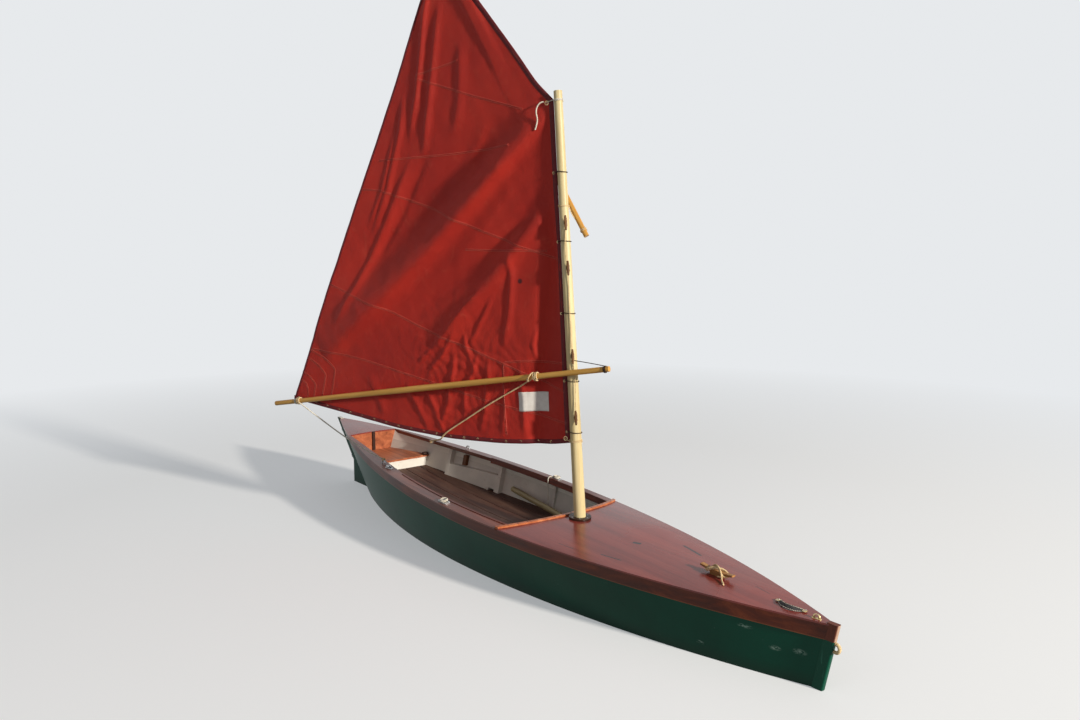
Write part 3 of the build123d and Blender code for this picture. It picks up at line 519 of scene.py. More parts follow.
# The sail. Tanbark cloth with one dark stain, laced to the mast along its luff, held
# up by the sprit at the peak and out by the boom at the clew. It hangs slack, so long
# folds run from throat to clew and down from the peak, and it crumples over the foot.
LUFF = [TACK, THROAT]
HEAD = [THROAT, (0.132, 2.47), (0.253, 2.655), (0.484, 2.985), PEAK]
LEECH = [CLEW, (2.11, 0.79), (1.995, 1.015), (1.86, 1.29), (1.689, 1.64), (1.52, 1.96),
         (1.367, 2.245), (1.18, 2.6), (0.97, 3.000), PEAK]
FOOT = [TACK, (0.173, 0.414), (0.515, 0.411), (0.881, 0.43), (1.27, 0.483), (1.6, 0.552),
        (1.854, 0.605), CLEW]
FOLDS = [
    # points aft and up; width to the luff side and to the leech side; height, + to
    # starboard; how much wider the fold ends than it begins, if it widens
    ([(0.05, 2.32), (0.141, 2.233), (0.555, 1.9), (0.945, 1.592), (1.365, 1.291), (1.888, 0.965)],
     0.056, 0.13, 0.054, 1.4),
    ([(0.26, 2.3), (0.74, 2.000), (1.2, 1.68), (1.7, 1.36)], 0.11, 0.2, -0.028, 1.2),
    ([(0.1, 1.86), (0.095, 1.5), (0.15, 1.15), (0.215, 0.78), (0.262, 0.452), (0.3, 0.12)],
     0.09, 0.05, -0.034),
    ([(0.1, 1.86), (0.473, 1.556), (0.889, 1.329), (1.2, 1.15)], 0.06, 0.07, -0.018, 1.2),
    ([(0.122, 1.74), (0.482, 1.4), (0.789, 1.13), (0.96, 0.99)], 0.05, 0.07, 0.028, 1.2),
    ([(0.42, 2.18), (0.76, 1.9), (1.1, 1.62)], 0.08, 0.12, -0.012),
    ([(0.26, 1.98), (0.56, 1.69), (0.8, 1.5)], 0.04, 0.06, 0.008),
    ([(0.82, 3.25), (0.898, 2.994), (0.996, 2.537), (1.075, 2.276)], 0.022, 0.018, 0.013),
    ([(0.78, 3.05), (0.863, 2.663), (0.979, 2.142)], 0.03, 0.022, 0.013),
    ([(0.64, 2.8), (0.676, 2.456), (0.74, 2.25)], 0.04, 0.03, 0.009),
    ([(1.1, 2.56), (1.138, 2.346), (1.266, 1.992), (1.42, 1.72)], 0.026, 0.018, 0.012),
    ([(1.177, 2.351), (1.306, 1.996), (1.45, 1.76)], 0.018, 0.018, 0.008),
    ([(1.04, 2.2), (1.304, 1.777), (1.565, 1.397), (1.76, 1.15)], 0.03, 0.026, 0.014),
    ([(0.93, 2.2), (1.18, 1.84), (1.4, 1.56)], 0.03, 0.03, -0.01),
    ([(0.5, 2.3), (0.62, 2.12), (0.8, 1.93)], 0.04, 0.04, 0.008),
    ([(0.558, 1.341), (0.71, 1.23), (0.83, 1.113), (0.98, 0.96)], 0.02, 0.013, 0.01),
    ([(0.378, 1.549), (0.371, 1.403), (0.402, 1.186), (0.46, 0.968)], 0.026, 0.018, 0.01),
    ([(0.5, 1.3), (0.6, 1.15), (0.7, 0.99)], 0.018, 0.014, 0.008),
    ([(0.732, 1.084), (0.72, 0.973), (0.663, 0.846)], 0.014, 0.012, 0.009),
    ([(0.78, 1.11), (0.899, 0.946), (1.022, 0.835)], 0.015, 0.012, 0.01),
    ([(0.86, 1.1), (1.000, 0.97), (1.12, 0.88)], 0.016, 0.013, 0.008),
    ([(0.64, 0.961), (0.685, 0.821), (0.746, 0.73), (0.764, 0.56)], 0.016, 0.013, 0.01),
    ([(0.803, 0.975), (0.833, 0.822), (0.884, 0.637), (0.953, 0.48)], 0.018, 0.014, 0.01),
    ([(0.56, 0.96), (0.575, 0.82), (0.61, 0.594), (0.656, 0.457)], 0.018, 0.014, 0.01),
    ([(1.06, 0.78), (0.98, 0.6), (0.917, 0.45)], 0.02, 0.014, 0.008),
    ([(1.2, 0.78), (1.12, 0.64), (1.03, 0.47)], 0.022, 0.016, 0.008),
    ([(0.347, 0.9), (0.333, 0.671), (0.337, 0.44)], 0.016, 0.016, 0.008),
    ([(0.45, 0.88), (0.46, 0.65), (0.5, 0.44)], 0.018, 0.014, 0.008),
    ([(0.212, 1.106), (0.253, 0.992), (0.226, 0.88)], 0.018, 0.014, 0.007),
    ([(1.5, 0.83), (1.43, 0.7), (1.38, 0.56)], 0.04, 0.03, 0.007),
    ([(2.05, 0.74), (1.8, 0.88), (1.55, 1.1)], 0.05, 0.05, -0.006),
]
CLOTH_THICK = 0.0014
BOOM_CLEAR, SPRIT_CLEAR = 0.0235, 0.0215  # each spar's radius and a little air for the cloth
SPAR_REACH = 0.05  # how far from a spar's line the cloth is held off it
STAIN = (0.317, 1.364, 0.0)


def along_line(points, share):
    """Points at shares 0 to 1 of a line's length, smoothed through its corners."""
    points = np.array(points)
    steps = np.concatenate([[0], np.cumsum(np.linalg.norm(np.diff(points, axis=0), axis=1))])
    steps /= steps[-1]
    dense = np.linspace(0, 1, 241)
    line = np.stack([np.interp(dense, steps, points[:, k]) for k in range(2)], axis=1)
    for _ in range(60):
        line[1:-1] = (line[:-2] + 2 * line[1:-1] + line[2:]) / 4
    return np.stack([np.interp(share, dense, line[:, k]) for k in range(2)], axis=-1)


def fold_height(aft, up, points, luff_width, leech_width, height, spread=1.0):
    """A long fold: a rounded ridge along a line, steeper on one side, dying out at its
    ends and widening by spread from its first point to its last."""
    points = np.array(points)
    best = np.full(aft.shape, 1e9)
    side = np.zeros(aft.shape)
    place = np.zeros(aft.shape)
    lengths = np.linalg.norm(np.diff(points, axis=0), axis=1)
    done = 0.0
    for start, end, length in zip(points[:-1], points[1:], lengths):
        run = (end - start) / length
        along = np.clip((aft - start[0]) * run[0] + (up - start[1]) * run[1], 0, length)
        off_aft = aft - start[0] - run[0] * along
        off_up = up - start[1] - run[1] * along
        distance = np.hypot(off_aft, off_up)
        nearer = distance < best
        best = np.where(nearer, distance, best)
        side = np.where(nearer, off_up * run[0] - off_aft * run[1], side)
        place = np.where(nearer, (done + along) / lengths.sum(), place)
        done += length
    width = np.where(side < 0, luff_width, leech_width) * spread ** (2 * place - 1)
    ends = np.clip(np.minimum(place, 1 - place) * 5, 0, 1) ** 0.8
    return height * ends * np.exp(-((best / width) ** 2))


def cloth_side(aft, up):
    """How far the cloth stands to port of the sail's plane."""
    side = 0.012 * np.sin(np.clip(aft / 1.9, 0, 1) * math.pi)
    side = side * np.sin(np.clip((up - 0.4) / 2.6, 0, 1) * math.pi)
    side += 0.03 * np.clip((aft - 0.15) / 1.0, 0, 1) * np.clip((up - 1.35) / 1.3, 0, 1)
    for fold in FOLDS:
        side -= fold_height(aft, up, *fold)
    crumple = np.sin(aft * 61 + 3.1 * np.sin(up * 17)) * np.sin(up * 47 + 2.3 * np.sin(aft * 23))
    side += 0.004 * crumple * np.exp(-(((aft - 0.75) / 0.42) ** 2 + ((up - 0.8) / 0.34) ** 2))
    side += 0.001 * np.sin(aft * 37 + up * 19 + 2 * np.sin(up * 9)) * np.sin(up * 29 - aft * 11)
    side = side * np.clip((aft - 0.035) / 0.05, 0, 1)
    for corner in (CLEW, PEAK):
        side = side * (1 - np.exp(-(((aft - corner[0]) ** 2 + (up - corner[1]) ** 2) / 0.02)))
    room = on_line(BOOM_OUT, aft) - BOOM_CLEAR
    near = np.exp(-(((up - on_line(BOOM_LINE, aft)) / SPAR_REACH) ** 4))
    side = np.where(side < -room, side * (1 - near) - room * near, side)
    sprit_aft = on_line(SPRIT_LINE, up)
    room = np.maximum(on_line(SPRIT_OUT, sprit_aft) - SPRIT_CLEAR, 0.0)
    near = np.exp(-(((aft - sprit_aft) / SPAR_REACH) ** 4)) * (up > 1.5)
    return np.where(side > room, side * (1 - near) + room * near, side)


def cloth_spots(flat, lift=0.0):
    """Places on the cloth for flat points aft and up, raised to starboard by lift."""
    flat = np.asarray(flat, dtype=float)
    side = cloth_side(flat[..., 0], flat[..., 1]) - lift
    base = np.array(MAST_FOOT) + flat[..., :1] * np.array(SAIL_AFT) + flat[..., 1:2] * np.array(MAST_UP)
    return base + side[..., None] * np.array(SAIL_PORT)


ACROSS, UPWARD = 190, 230
s = np.linspace(0, 1, ACROSS)[None, :, None]
t = np.linspace(0, 1, UPWARD)[:, None, None]
foot, head = (along_line(line, np.linspace(0, 1, ACROSS))[None] for line in (FOOT, HEAD))
luff, leech = (along_line(line, np.linspace(0, 1, UPWARD))[:, None] for line in (LUFF, LEECH))
corners = [np.array(c) for c in (FOOT[0], FOOT[-1], HEAD[0], HEAD[-1])]
flat = (1 - t) * foot + t * head + (1 - s) * luff + s * leech - (
    (1 - s) * (1 - t) * corners[0] + s * (1 - t) * corners[1] + (1 - s) * t * corners[2] + s * t * corners[3])
spots = cloth_spots(flat)


def sewn_piece(name, spots, plan, finish, thickness):
    """A quilt of quads over a grid of places, made a sheet of some thickness, with the flat
    places as its UV map in metres."""
    rows, columns = spots.shape[:2]
    index = np.arange(rows * columns).reshape(rows, columns)
    quads = np.stack([index[:-1, :-1], index[:-1, 1:], index[1:, 1:], index[1:, :-1]], axis=-1)
    mesh = bpy.data.meshes.new(name)
    mesh.from_pydata(spots.reshape(-1, 3).tolist(), [], quads.reshape(-1, 4).tolist())
    layer = mesh.uv_layers.new(name="cut")
    order = np.zeros(len(mesh.loops), dtype=np.int32)
    mesh.loops.foreach_get("vertex_index", order)
    layer.data.foreach_set("uv", plan.reshape(-1, 2)[order].astype(np.float32).ravel())
    mesh.shade_smooth()
    mesh.materials.append(finish)
    piece = linked(name, mesh)
    solid = piece.modifiers.new("cloth", "SOLIDIFY")
    solid.thickness = thickness
    solid.offset = 0
    return baked(piece)


def baked(piece):
    """A piece with its modifiers worked into a plain mesh."""
    shaped = bpy.data.meshes.new_from_object(piece.evaluated_get(bpy.context.evaluated_depsgraph_get()))
    name = piece.name
    bpy.data.objects.remove(piece)
    shaped.name = name
    return linked(name, shaped)


def ribs(tree, where, scale, twist, way="X"):
    """Even ribs across one way of a cloth."""
    sockets = {"Vector": where, "Scale": scale, "Distortion": twist}
    return put(tree, "ShaderNodeTexWave", sockets, bands_direction=way).outputs["Fac"]


cloth, tree, shader = new_finish("tanbark_cloth")
cut = put(tree, "ShaderNodeUVMap", uv_map="cut").outputs["UV"]
weave = sums(tree, "MULTIPLY", ribs(tree, cut, 260.0, 0.4), ribs(tree, cut, 260.0, 0.4, "Y"))
faded = cloud(tree, cut, 1.6, 4.0, 0.6)
creases_and_highlight = cloud(tree, turned(tree, cut, (14, 9, 9)), 1.0, 6.0, 0.72, 1.2)
colour = mix(tree, fade(tree, faded, 0.3, 0.72), tint(188, 44, 28), tint(164, 32, 22))
# Pale pink along the creases is a painted highlight on the crease relief.
colour = mix(tree, fade(tree, creases_and_highlight, 0.56, 0.74, 0.0, 0.34), colour, tint(204, 84, 62))
colour = mix(tree, fade(tree, weave, 0.2, 0.9, 0.0, 0.22), colour, tint(88, 14, 12))
stained = fade(tree, vector_sums(tree, "DISTANCE", cut, STAIN), 0.01, 0.019, 0.92, 0.0)
colour = mix(tree, stained, colour, tint(40, 8, 12))
plug(tree, shader, {"Base Color": colour, "Roughness": 0.55, "Specular IOR Level": 0.22, "Sheen Weight": 0.05,
                    "Sheen Roughness": 0.5})
raise_grain(tree, shader, sums(tree, "ADD", sums(tree, "MULTIPLY", weave, 0.2), creases_and_highlight), 0.5, 0.007)

sail = sewn_piece("tanbark_sail", spots, flat, cloth, CLOTH_THICK)
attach(sail, "rig")
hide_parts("sail")

# The sail's edges. A doubled tape of darker cloth is folded over each edge, so that
# it shows on both faces, and sewn through.
TAPE_THICK = 0.0008
EDGES = [
    # name, corner line, width, steps
    ("leech_tape", LEECH, 0.017, 200),
    ("head_tape", HEAD, 0.03, 90),
    ("foot_tape", FOOT, 0.026, 180),
    ("luff_tape", LUFF, 0.03, 120),
]


def toned_cloth(name, grain, first, second, base=None, rough=0.55):
    """Plain cloth, or a copy of base, in two tones that drift over its flat places."""
    finish, tree, shader = new_finish(name, base)
    cut = put(tree, "ShaderNodeUVMap", uv_map="cut").outputs["UV"] if base else here(tree)
    tone = cloud(tree, turned(tree, cut, (grain, grain, grain)), 1.0, 4.0, 0.6)
    plug(tree, shader, {"Base Color": mix(tree, tone, first, second), "Roughness": rough})
    return finish


def beside(line):
    """The way to one side at each point of a flat line."""
    run = np.gradient(line, axis=0)
    return np.stack([-run[:, 1], run[:, 0]], axis=1) / np.linalg.norm(run, axis=1)[:, None]


tape_cloth = toned_cloth("tape_cloth", 30, tint(112, 18, 22), tint(70, 12, 20), cloth)
middle = np.array([0.9, 1.7])
for name, corner_line, width, steps in EDGES:
    line = along_line(corner_line, np.linspace(0, 1, steps))
    inward = beside(line)
    inward *= np.sign(((middle - line) * inward).sum(axis=1))[:, None]
    section = [(width, -0.0012), (0.002, -0.002), (-0.0012, 0.0), (0.002, 0.002), (width, 0.0012)]
    columns = [cloth_spots(line + inward * max(inset, 0.0), lift) for inset, lift in section]
    plan = np.stack([line + inward * inset for inset, lift in section], axis=1)
    tape = sewn_piece(name, np.stack(columns, axis=1), plan, tape_cloth, TAPE_THICK)
    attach(tape, "rig")
# Seams and stitches. The cloths are joined by narrow lapped seams; each is two rows
# of pale thread, and the clew has rings of stitching round its doubled patch.
SEAMS = [
    [(0.996, 2.64), (0.8, 2.56), (0.586, 2.471), (0.234, 2.336)],
    [(0.996, 2.656), (0.825, 2.672), (0.669, 2.69)],
    [(1.32, 2.183), (0.827, 2.156), (0.33, 2.147)],
    [(1.48, 2.02), (1.334, 2.000), (1.000, 1.872), (0.64, 1.71), (0.367, 1.591), (0.06, 1.47)],
    [(0.686, 1.575), (0.473, 1.553), (0.136, 1.525)],
    [(1.77, 1.426), (1.509, 1.314), (1.308, 1.244), (1.096, 1.138), (0.909, 1.062), (0.656, 0.964),
     (0.06, 0.72)],
    [(1.985, 1.01), (1.711, 0.965), (1.521, 0.925), (1.2, 0.833), (0.932, 0.761), (0.64, 0.677),
     (0.06, 0.54)],
    [(0.7, 3.27), (0.449, 2.911), (0.324, 2.739), (0.203, 2.556), (0.075, 2.38)],
    [(1.985, 1.001), (1.847, 0.931), (1.786, 0.863), (1.805, 0.78), (1.845, 0.65)],
    [(2.015, 0.95), (1.918, 0.89), (1.874, 0.83), (1.889, 0.763), (1.925, 0.66)],
    [(2.075, 0.858), (2.015, 0.823), (1.968, 0.763), (1.994, 0.665)],
    [(2.1, 0.805), (2.053, 0.779), (2.036, 0.729), (2.052, 0.665)],
    [(0.465, 0.47), (0.465, 0.894), (0.301, 0.9), (0.06, 0.882)],
]
SEAM_STEP = 0.012  # between the points that a seam is worked out at
ROW_OFF, LAP_HALF, LAP_THICK = 0.0045, 0.0062, 0.0022
thread, tree, shader = new_finish("pale_thread")
tone = cloud(tree, here(tree), 90.0, 2.0)
plug(tree, shader, {"Base Color": mix(tree, tone, tint(214, 112, 92), tint(188, 86, 70)), "Roughness": 0.6})


def new_tree(name, *labels):
    """An empty geometry tree with a shape in and out and its named inputs."""
    tree = bpy.data.node_groups.new(name, "GeometryNodeTree")
    for way in ("INPUT", "OUTPUT"):
        tree.interface.new_socket("Shape", in_out=way, socket_type="NodeSocketGeometry")
    for label in labels:
        kind = {"Facing": "Vector", "Finish": "Material"}.get(label, "Float")
        tree.interface.new_socket(label, in_out="INPUT", socket_type="NodeSocket" + kind)
    return tree, put(tree, "NodeGroupInput").outputs


def close_tree(tree, shape, finish):
    """Real geometry, given its finish, at the end of a tree."""
    real = put(tree, "GeometryNodeRealizeInstances", {0: shape}).outputs[0]
    painted = put(tree, "GeometryNodeSetMaterial", {"Geometry": real, "Material": finish}).outputs[0]
    put(tree, "NodeGroupOutput", {0: painted})


def run_tree(piece, tree, values):
    """Runs a tree on a piece and leaves a plain mesh."""
    modifier = piece.modifiers.new(tree.name, "NODES")
    modifier.node_group = tree
    for item in tree.interface.items_tree:
        if item.in_out == "INPUT" and item.name in values:
            modifier[item.identifier] = values[item.name]
    return baked(piece)


def path_piece(name, lines, closed=False, order=2):
    """A curve object with one line for each list of points."""
    curve = bpy.data.curves.new(name, "CURVE")
    curve.dimensions = "3D"
    curve.resolution_u = 8
    for points in lines:
        spline = curve.splines.new("NURBS" if order > 2 else "POLY")
        spline.points.add(len(points) - 1)
        for point, place in zip(spline.points, points):
            point.co = (*place, 1)
        spline.use_cyclic_u = closed
        if order > 2:
            spline.order_u = order
            spline.use_endpoint_u = not closed
    return linked(name, curve)


def seam_run(seam):
    """A seam's points and the way to one side at each."""
    count = 2 + int(sum(math.dist(a, b) for a, b in zip(seam, seam[1:])) / SEAM_STEP)
    line = along_line(seam, np.linspace(0, 1, count))
    return line, beside(line)


def joined(pieces, name):
    """Several plain pieces made one."""
    bpy.ops.object.select_all(action="DESELECT")
    for piece in pieces:
        piece.select_set(True)
    bpy.context.view_layer.objects.active = pieces[0]
    bpy.ops.object.join()
    pieces[0].name = name
    return pieces[0]


stitch_tree, given = new_tree("row_of_stitches", "Pitch", "Length", "Thread", "Finish")
row = put(stitch_tree, "GeometryNodeCurveToPoints", {"Curve": given["Shape"], "Length": given["Pitch"]},
          mode="LENGTH").outputs
size = put(stitch_tree, "ShaderNodeCombineXYZ", {
    "X": given["Thread"], "Y": given["Thread"], "Z": given["Length"]})
stitch = put(stitch_tree, "GeometryNodeMeshCube", {"Size": size.outputs[0]}).outputs["Mesh"]
laid = put(stitch_tree, "GeometryNodeInstanceOnPoints", {
    "Points": row["Points"], "Instance": stitch, "Rotation": row["Rotation"]})
close_tree(stitch_tree, laid.outputs[0], given["Finish"])

rows = []
for line, side in map(seam_run, SEAMS):
    for offset in (-ROW_OFF, ROW_OFF):
        rows += [cloth_spots(line + side * offset, lift).tolist() for lift in (0.0012, -0.0012)]
stitches = run_tree(path_piece("sail_stitches", rows), stitch_tree,
                    {"Pitch": 0.0085, "Length": 0.0058, "Thread": 0.0014, "Finish": thread})
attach(stitches, "rig")

lap_cloth = toned_cloth("lap_cloth", 20, tint(176, 44, 30), tint(156, 34, 24), cloth)
laps = []
for number, (line, side) in enumerate(map(seam_run, SEAMS)):
    plan = np.stack([line + side * offset for offset in (-LAP_HALF, 0.0, LAP_HALF)], axis=1)
    laps.append(sewn_piece(f"seam_{number + 1}", cloth_spots(plan), plan, lap_cloth, LAP_THICK))
seams = joined(laps, "sail_seams")
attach(seams, "rig")

# The sailmaker's patch near the tack, left blank. White cloth, sewn by its border to
# the sail's starboard face.
patch_cloth = toned_cloth("patch_cloth", 40, tint(226, 222, 214), tint(196, 188, 180), rough=0.7)
plan = np.stack(np.meshgrid(np.linspace(0.178, 0.366, 20), np.linspace(0.604, 0.718, 14)), axis=-1)
patch = sewn_piece("blank_patch", cloth_spots(plan, 0.0016), plan, patch_cloth, TAPE_THICK)
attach(patch, "rig")

# Eyelets. Dull brass rings pressed into the cloth along the luff and foot, with one
# larger ring at each corner.


def circle(tree, corners, radius):
    """A round line, to sweep or to sweep along."""
    sockets = {"Resolution": corners, "Radius": radius}
    return put(tree, "GeometryNodeCurvePrimitiveCircle", sockets, mode="RADIUS").outputs[0]


def set_on_points(tree, given, piece, **more):
    """A piece on every point, turned to the given facing."""
    turn = put(tree, "FunctionNodeAlignRotationToVector", {"Vector": given["Facing"]}, axis="Z").outputs[0]
    sockets = {"Points": given["Shape"], "Instance": piece, "Rotation": turn, **more}
    return put(tree, "GeometryNodeInstanceOnPoints", sockets).outputs[0]


eyelet_tree, given = new_tree("eyelets", "Ring", "Metal", "Facing", "Finish")
ring = put(eyelet_tree, "GeometryNodeCurveToMesh", {
    "Curve": circle(eyelet_tree, 16, given["Ring"]), "Profile Curve": circle(eyelet_tree, 8, given["Metal"])})
close_tree(eyelet_tree, set_on_points(eyelet_tree, given, ring.outputs[0]), given["Finish"])


def worn_metal(name, bright, dull, rough):
    """Metal that has dulled and spotted in salt air."""
    material, tree, shader = new_finish(name)
    spots = cloud(tree, here(tree), 60.0, 5.0, 0.7)
    plug(tree, shader, {
        "Base Color": mix(tree, fade(tree, spots, 0.4, 0.65), bright, dull),
        "Roughness": fade(tree, spots, 0.35, 0.7, rough, rough + 0.3), "Metallic": 0.9})
    raise_grain(tree, shader, spots, 0.2, 0.0006)
    return material


def point_piece(name, spots):
    """Loose points, for a tree to set pieces on."""
    mesh = bpy.data.meshes.new(name)
    mesh.from_pydata([tuple(p) for p in spots], [], [])
    return linked(name, mesh)


brass = worn_metal("dull_brass", tint(214, 196, 150), tint(150, 126, 84), 0.35)
LACE_UPS = [0.49, 0.782, 1.166, 1.57, 1.954]
holes = [(0.054, up) for up in LACE_UPS]
holes += (along_line(FOOT, np.linspace(0.06, 0.95, 20)) + np.array([0.0, 0.013])).tolist()
corners = [(0.066, 0.452), (0.075, 2.345), (0.772, 3.345), (2.13, 0.672)]
facing = {"Facing": SAIL_PORT, "Finish": brass}
eyelets = run_tree(point_piece("sail_eyelets", cloth_spots(holes)), eyelet_tree,
                   {"Ring": 0.0062, "Metal": 0.0022, **facing})
corner_rings = run_tree(point_piece("corner_rings", cloth_spots(corners)), eyelet_tree,
                        {"Ring": 0.011, "Metal": 0.003, **facing})
for piece in (eyelets, corner_rings):
    piece.data.shade_smooth()
    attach(piece, "rig")
width, length = 2.18, 2.99  # over the folds: widest level line, and foot to peak

# The lacing and the lines on the rig. Three-strand rope throughout: dark lacing
# rings round the mast at the luff, cream snotters and sheets, white tails.
rope_tree, given = new_tree("three_strand_rope", "Thickness", "Lay", "Finish")
step = sums(rope_tree, "DIVIDE", given["Lay"], 9.0)
even = put(rope_tree, "GeometryNodeResampleCurve", {"Curve": given["Shape"], "Length": step}, mode="LENGTH")
far_along = put(rope_tree, "GeometryNodeSplineParameter").outputs["Length"]
angle = sums(rope_tree, "MULTIPLY", sums(rope_tree, "DIVIDE", far_along, given["Lay"]), -2 * math.pi)
twisted = put(rope_tree, "GeometryNodeSetCurveTilt", {"Curve": even.outputs[0], "Tilt": angle}).outputs[0]
corner = put(rope_tree, "GeometryNodeInputIndex").outputs[0]
swell = sums(rope_tree, "COSINE", sums(rope_tree, "MULTIPLY", corner, math.pi / 2))
half = sums(rope_tree, "MULTIPLY", given["Thickness"], 0.5)
reach = sums(rope_tree, "MULTIPLY", sums(rope_tree, "MULTIPLY_ADD", swell, 0.16, 0.84), half)
place = put(rope_tree, "GeometryNodeInputPosition").outputs[0]
lobed = put(rope_tree, "ShaderNodeVectorMath", {0: place, "Scale": reach}, operation="SCALE").outputs[0]
edge = circle(rope_tree, 12, 1.0)
profile = put(rope_tree, "GeometryNodeSetPosition", {"Geometry": edge, "Position": lobed}).outputs[0]
swept = put(rope_tree, "GeometryNodeCurveToMesh", {
    "Curve": twisted, "Profile Curve": profile, "Fill Caps": True})
smooth = put(rope_tree, "GeometryNodeSetShadeSmooth", {0: swept.outputs[0]}).outputs[0]
close_tree(rope_tree, smooth, given["Finish"])


def yarn(name, clean, soiled):
    """Rope yarn: soiled in patches, with a fine hairy relief."""
    material, tree, shader = new_finish(name)
    dirt = cloud(tree, here(tree), 28.0, 4.0, 0.65)
    hair = cloud(tree, here(tree), 900.0, 2.0)
    colour = mix(tree, fade(tree, dirt, 0.4, 0.7), clean, soiled)
    colour = mix(tree, fade(tree, hair, 0.5, 0.8, 0, 0.3), colour, soiled)
    plug(tree, shader, {"Base Color": colour, "Roughness": 0.8, "Specular IOR Level": 0.15})
    raise_grain(tree, shader, hair, 0.4, 0.0008)
    return material


CREAM = yarn("cream_rope", tint(224, 200, 156), tint(192, 160, 114))
PALE = yarn("white_rope", tint(222, 216, 202), tint(190, 180, 160))
DARK = yarn("dark_lacing", tint(74, 58, 46), tint(48, 38, 32))


def rope(name, lines, thickness, finish, body, closed=False, order=3):
    """Lays rope along lines of points and fixes it to a body."""
    path = path_piece(name, lines, closed, order)
    piece = run_tree(path, rope_tree, {"Thickness": thickness, "Lay": thickness * 3.2, "Finish": finish})
    if body:
        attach(piece, body)
    return piece


def mast_side(up, angle, out=0.0):
    """A point round the mast: angle from dead ahead, positive to port."""
    ahead = Vector((math.cos(RAKE), 0, math.sin(RAKE)))
    sideways = ahead * math.cos(angle) + Vector((0, 1, 0)) * math.sin(angle)
    return MAST_FOOT + MAST_UP * up + sideways * (mast_radius(up) + out)


RING_GAP = 38  # degrees either side of dead aft that a ring leaves for its eyelet


def mast_ring(up, thickness, reach_aft, tilt=0.0):
    """A ring of line round the mast that reaches aft to an eyelet."""
    radius = mast_radius(up) + thickness * 0.55
    ring = []
    for k in range(24):
        turn = math.radians(RING_GAP + (360 - 2 * RING_GAP) * k / 23)
        ring.append(rig_spot(radius * math.cos(turn), up + tilt * math.cos(turn), radius * math.sin(turn)))
    ring.append(rig_spot(reach_aft, up, 0.0045 * (1 if tilt >= 0 else -1)))
    return ring


rope("luff_lacing", [mast_ring(up, 0.006, 0.055, 0.004) for up in LACE_UPS], 0.006, DARK, "rig", True, 2)


TURN_STEPS = 14


def around(centre, along, radius, turns, pitch):
    """Turns of rope round a spar, side by side along it."""
    along = Vector(along).normalized()
    first = along.orthogonal().normalized()
    second = along.cross(first)
    places = []
    for k in range(int(turns * TURN_STEPS) + 1):
        angle = 2 * math.pi * k / TURN_STEPS
        drift = pitch * (k / TURN_STEPS - turns / 2)
        round_it = first * math.cos(angle) * radius + second * math.sin(angle) * radius
        places.append(Vector(centre) + round_it + along * drift)
    return places


rope("clew_lashing", [
    around(boom_spot(2.135), BOOM_RUN, 0.019, 2.6, 0.0062),
    [boom_spot(2.135, 0.0195), cloth_spots((2.132, 0.672)).tolist(), boom_spot(2.128, -0.019)],
], 0.0052, PALE, "rig")
rope("throat_lashing", [
    around(MAST_FOOT + MAST_UP * 2.348, MAST_UP, 0.0268, 2.4, 0.006),
    [rig_spot(0.022, 2.352, -0.016), rig_spot(0.06, 2.35, -0.006), rig_spot(0.076, 2.346, 0.0)],
], 0.0052, PALE, "rig")
rope("peak_becket", [[
    rig_spot(0.772, 3.345, 0.001), rig_spot(0.776, 3.372, 0.01), sprit_spot(3.405, 0.006),
    sprit_spot(3.398, -0.013), rig_spot(0.764, 3.372, -0.006), rig_spot(0.768, 3.348, -0.002),
]], 0.005, PALE, "rig")
rope("tack_lashing", [
    around(MAST_FOOT + MAST_UP * 0.44, MAST_UP, 0.0355, 2.5, 0.0065),
    [mast_side(0.44, math.radians(-110), 0.003), rig_spot(0.05, 0.444, -0.012), rig_spot(0.067, 0.452, 0.0)],
], 0.0055, CREAM, "rig")

# Four small horn cleats down the mast's fore side, turned a little to starboard, with
# the ends of the snotters made fast on them. Oiled hardwood, carved, one screw
# through each waist.
HORN_UPS = [0.577, 0.923, 1.417, 1.668]

HORN_SIDE = math.radians(-33)  # the side of the mast that they stand on, from dead ahead
HORN_SIZE = 0.082, 0.022, 0.018  # length, height, width


def ringed_form(name, rings):
    """A closed smooth form through rings of places."""
    form = bmesh.new()
    loops = [[form.verts.new(p) for p in ring] for ring in rings]
    for below, above in zip(loops, loops[1:]):
        for k in range(len(below)):
            form.faces.new((below[k], below[k - 1], above[k - 1], above[k]))
    form.faces.new(loops[0])
    form.faces.new(reversed(loops[-1]))
    bmesh.ops.recalc_face_normals(form, faces=form.faces)
    mesh = bpy.data.meshes.new(name)
    form.to_mesh(mesh)
    form.free()
    mesh.shade_smooth()
    return linked(name, mesh)


def ring_of(centre, first, second, count):
    """Places round a centre, reaching first one way and second the other."""
    angles = [2 * math.pi * k / count for k in range(count)]
    return [centre + first * math.cos(a) + second * math.sin(a) for a in angles]


def small_cleat(name, foot, along, out, length, height, width):
    """A horn cleat: a waisted base and two horns that rise towards their tips."""
    across = along.cross(out).normalized()
    tips, base = [], []
    for k in range(13):
        s = -1 + k / 6
        half_width = width / 2 * (1 - 0.45 * abs(s) ** 1.6)
        half_height = height * 0.2 * (1 - 0.5 * abs(s) ** 2)
        centre = foot + along * (length / 2 * s) + out * (height * (0.68 + 0.22 * s * s))
        tips.append(ring_of(centre, across * half_width, out * half_height, 12))
    for level, spread in ((-0.05, 1.15), (0.12, 1.1), (0.4, 0.85), (0.72, 0.9)):
        centre = foot + out * (height * level)
        base.append(ring_of(centre, along * (length * 0.19 * spread), across * (width * 0.46 * spread), 12))
    return joined([ringed_form(name, tips), ringed_form(name + "_base", base)], name)


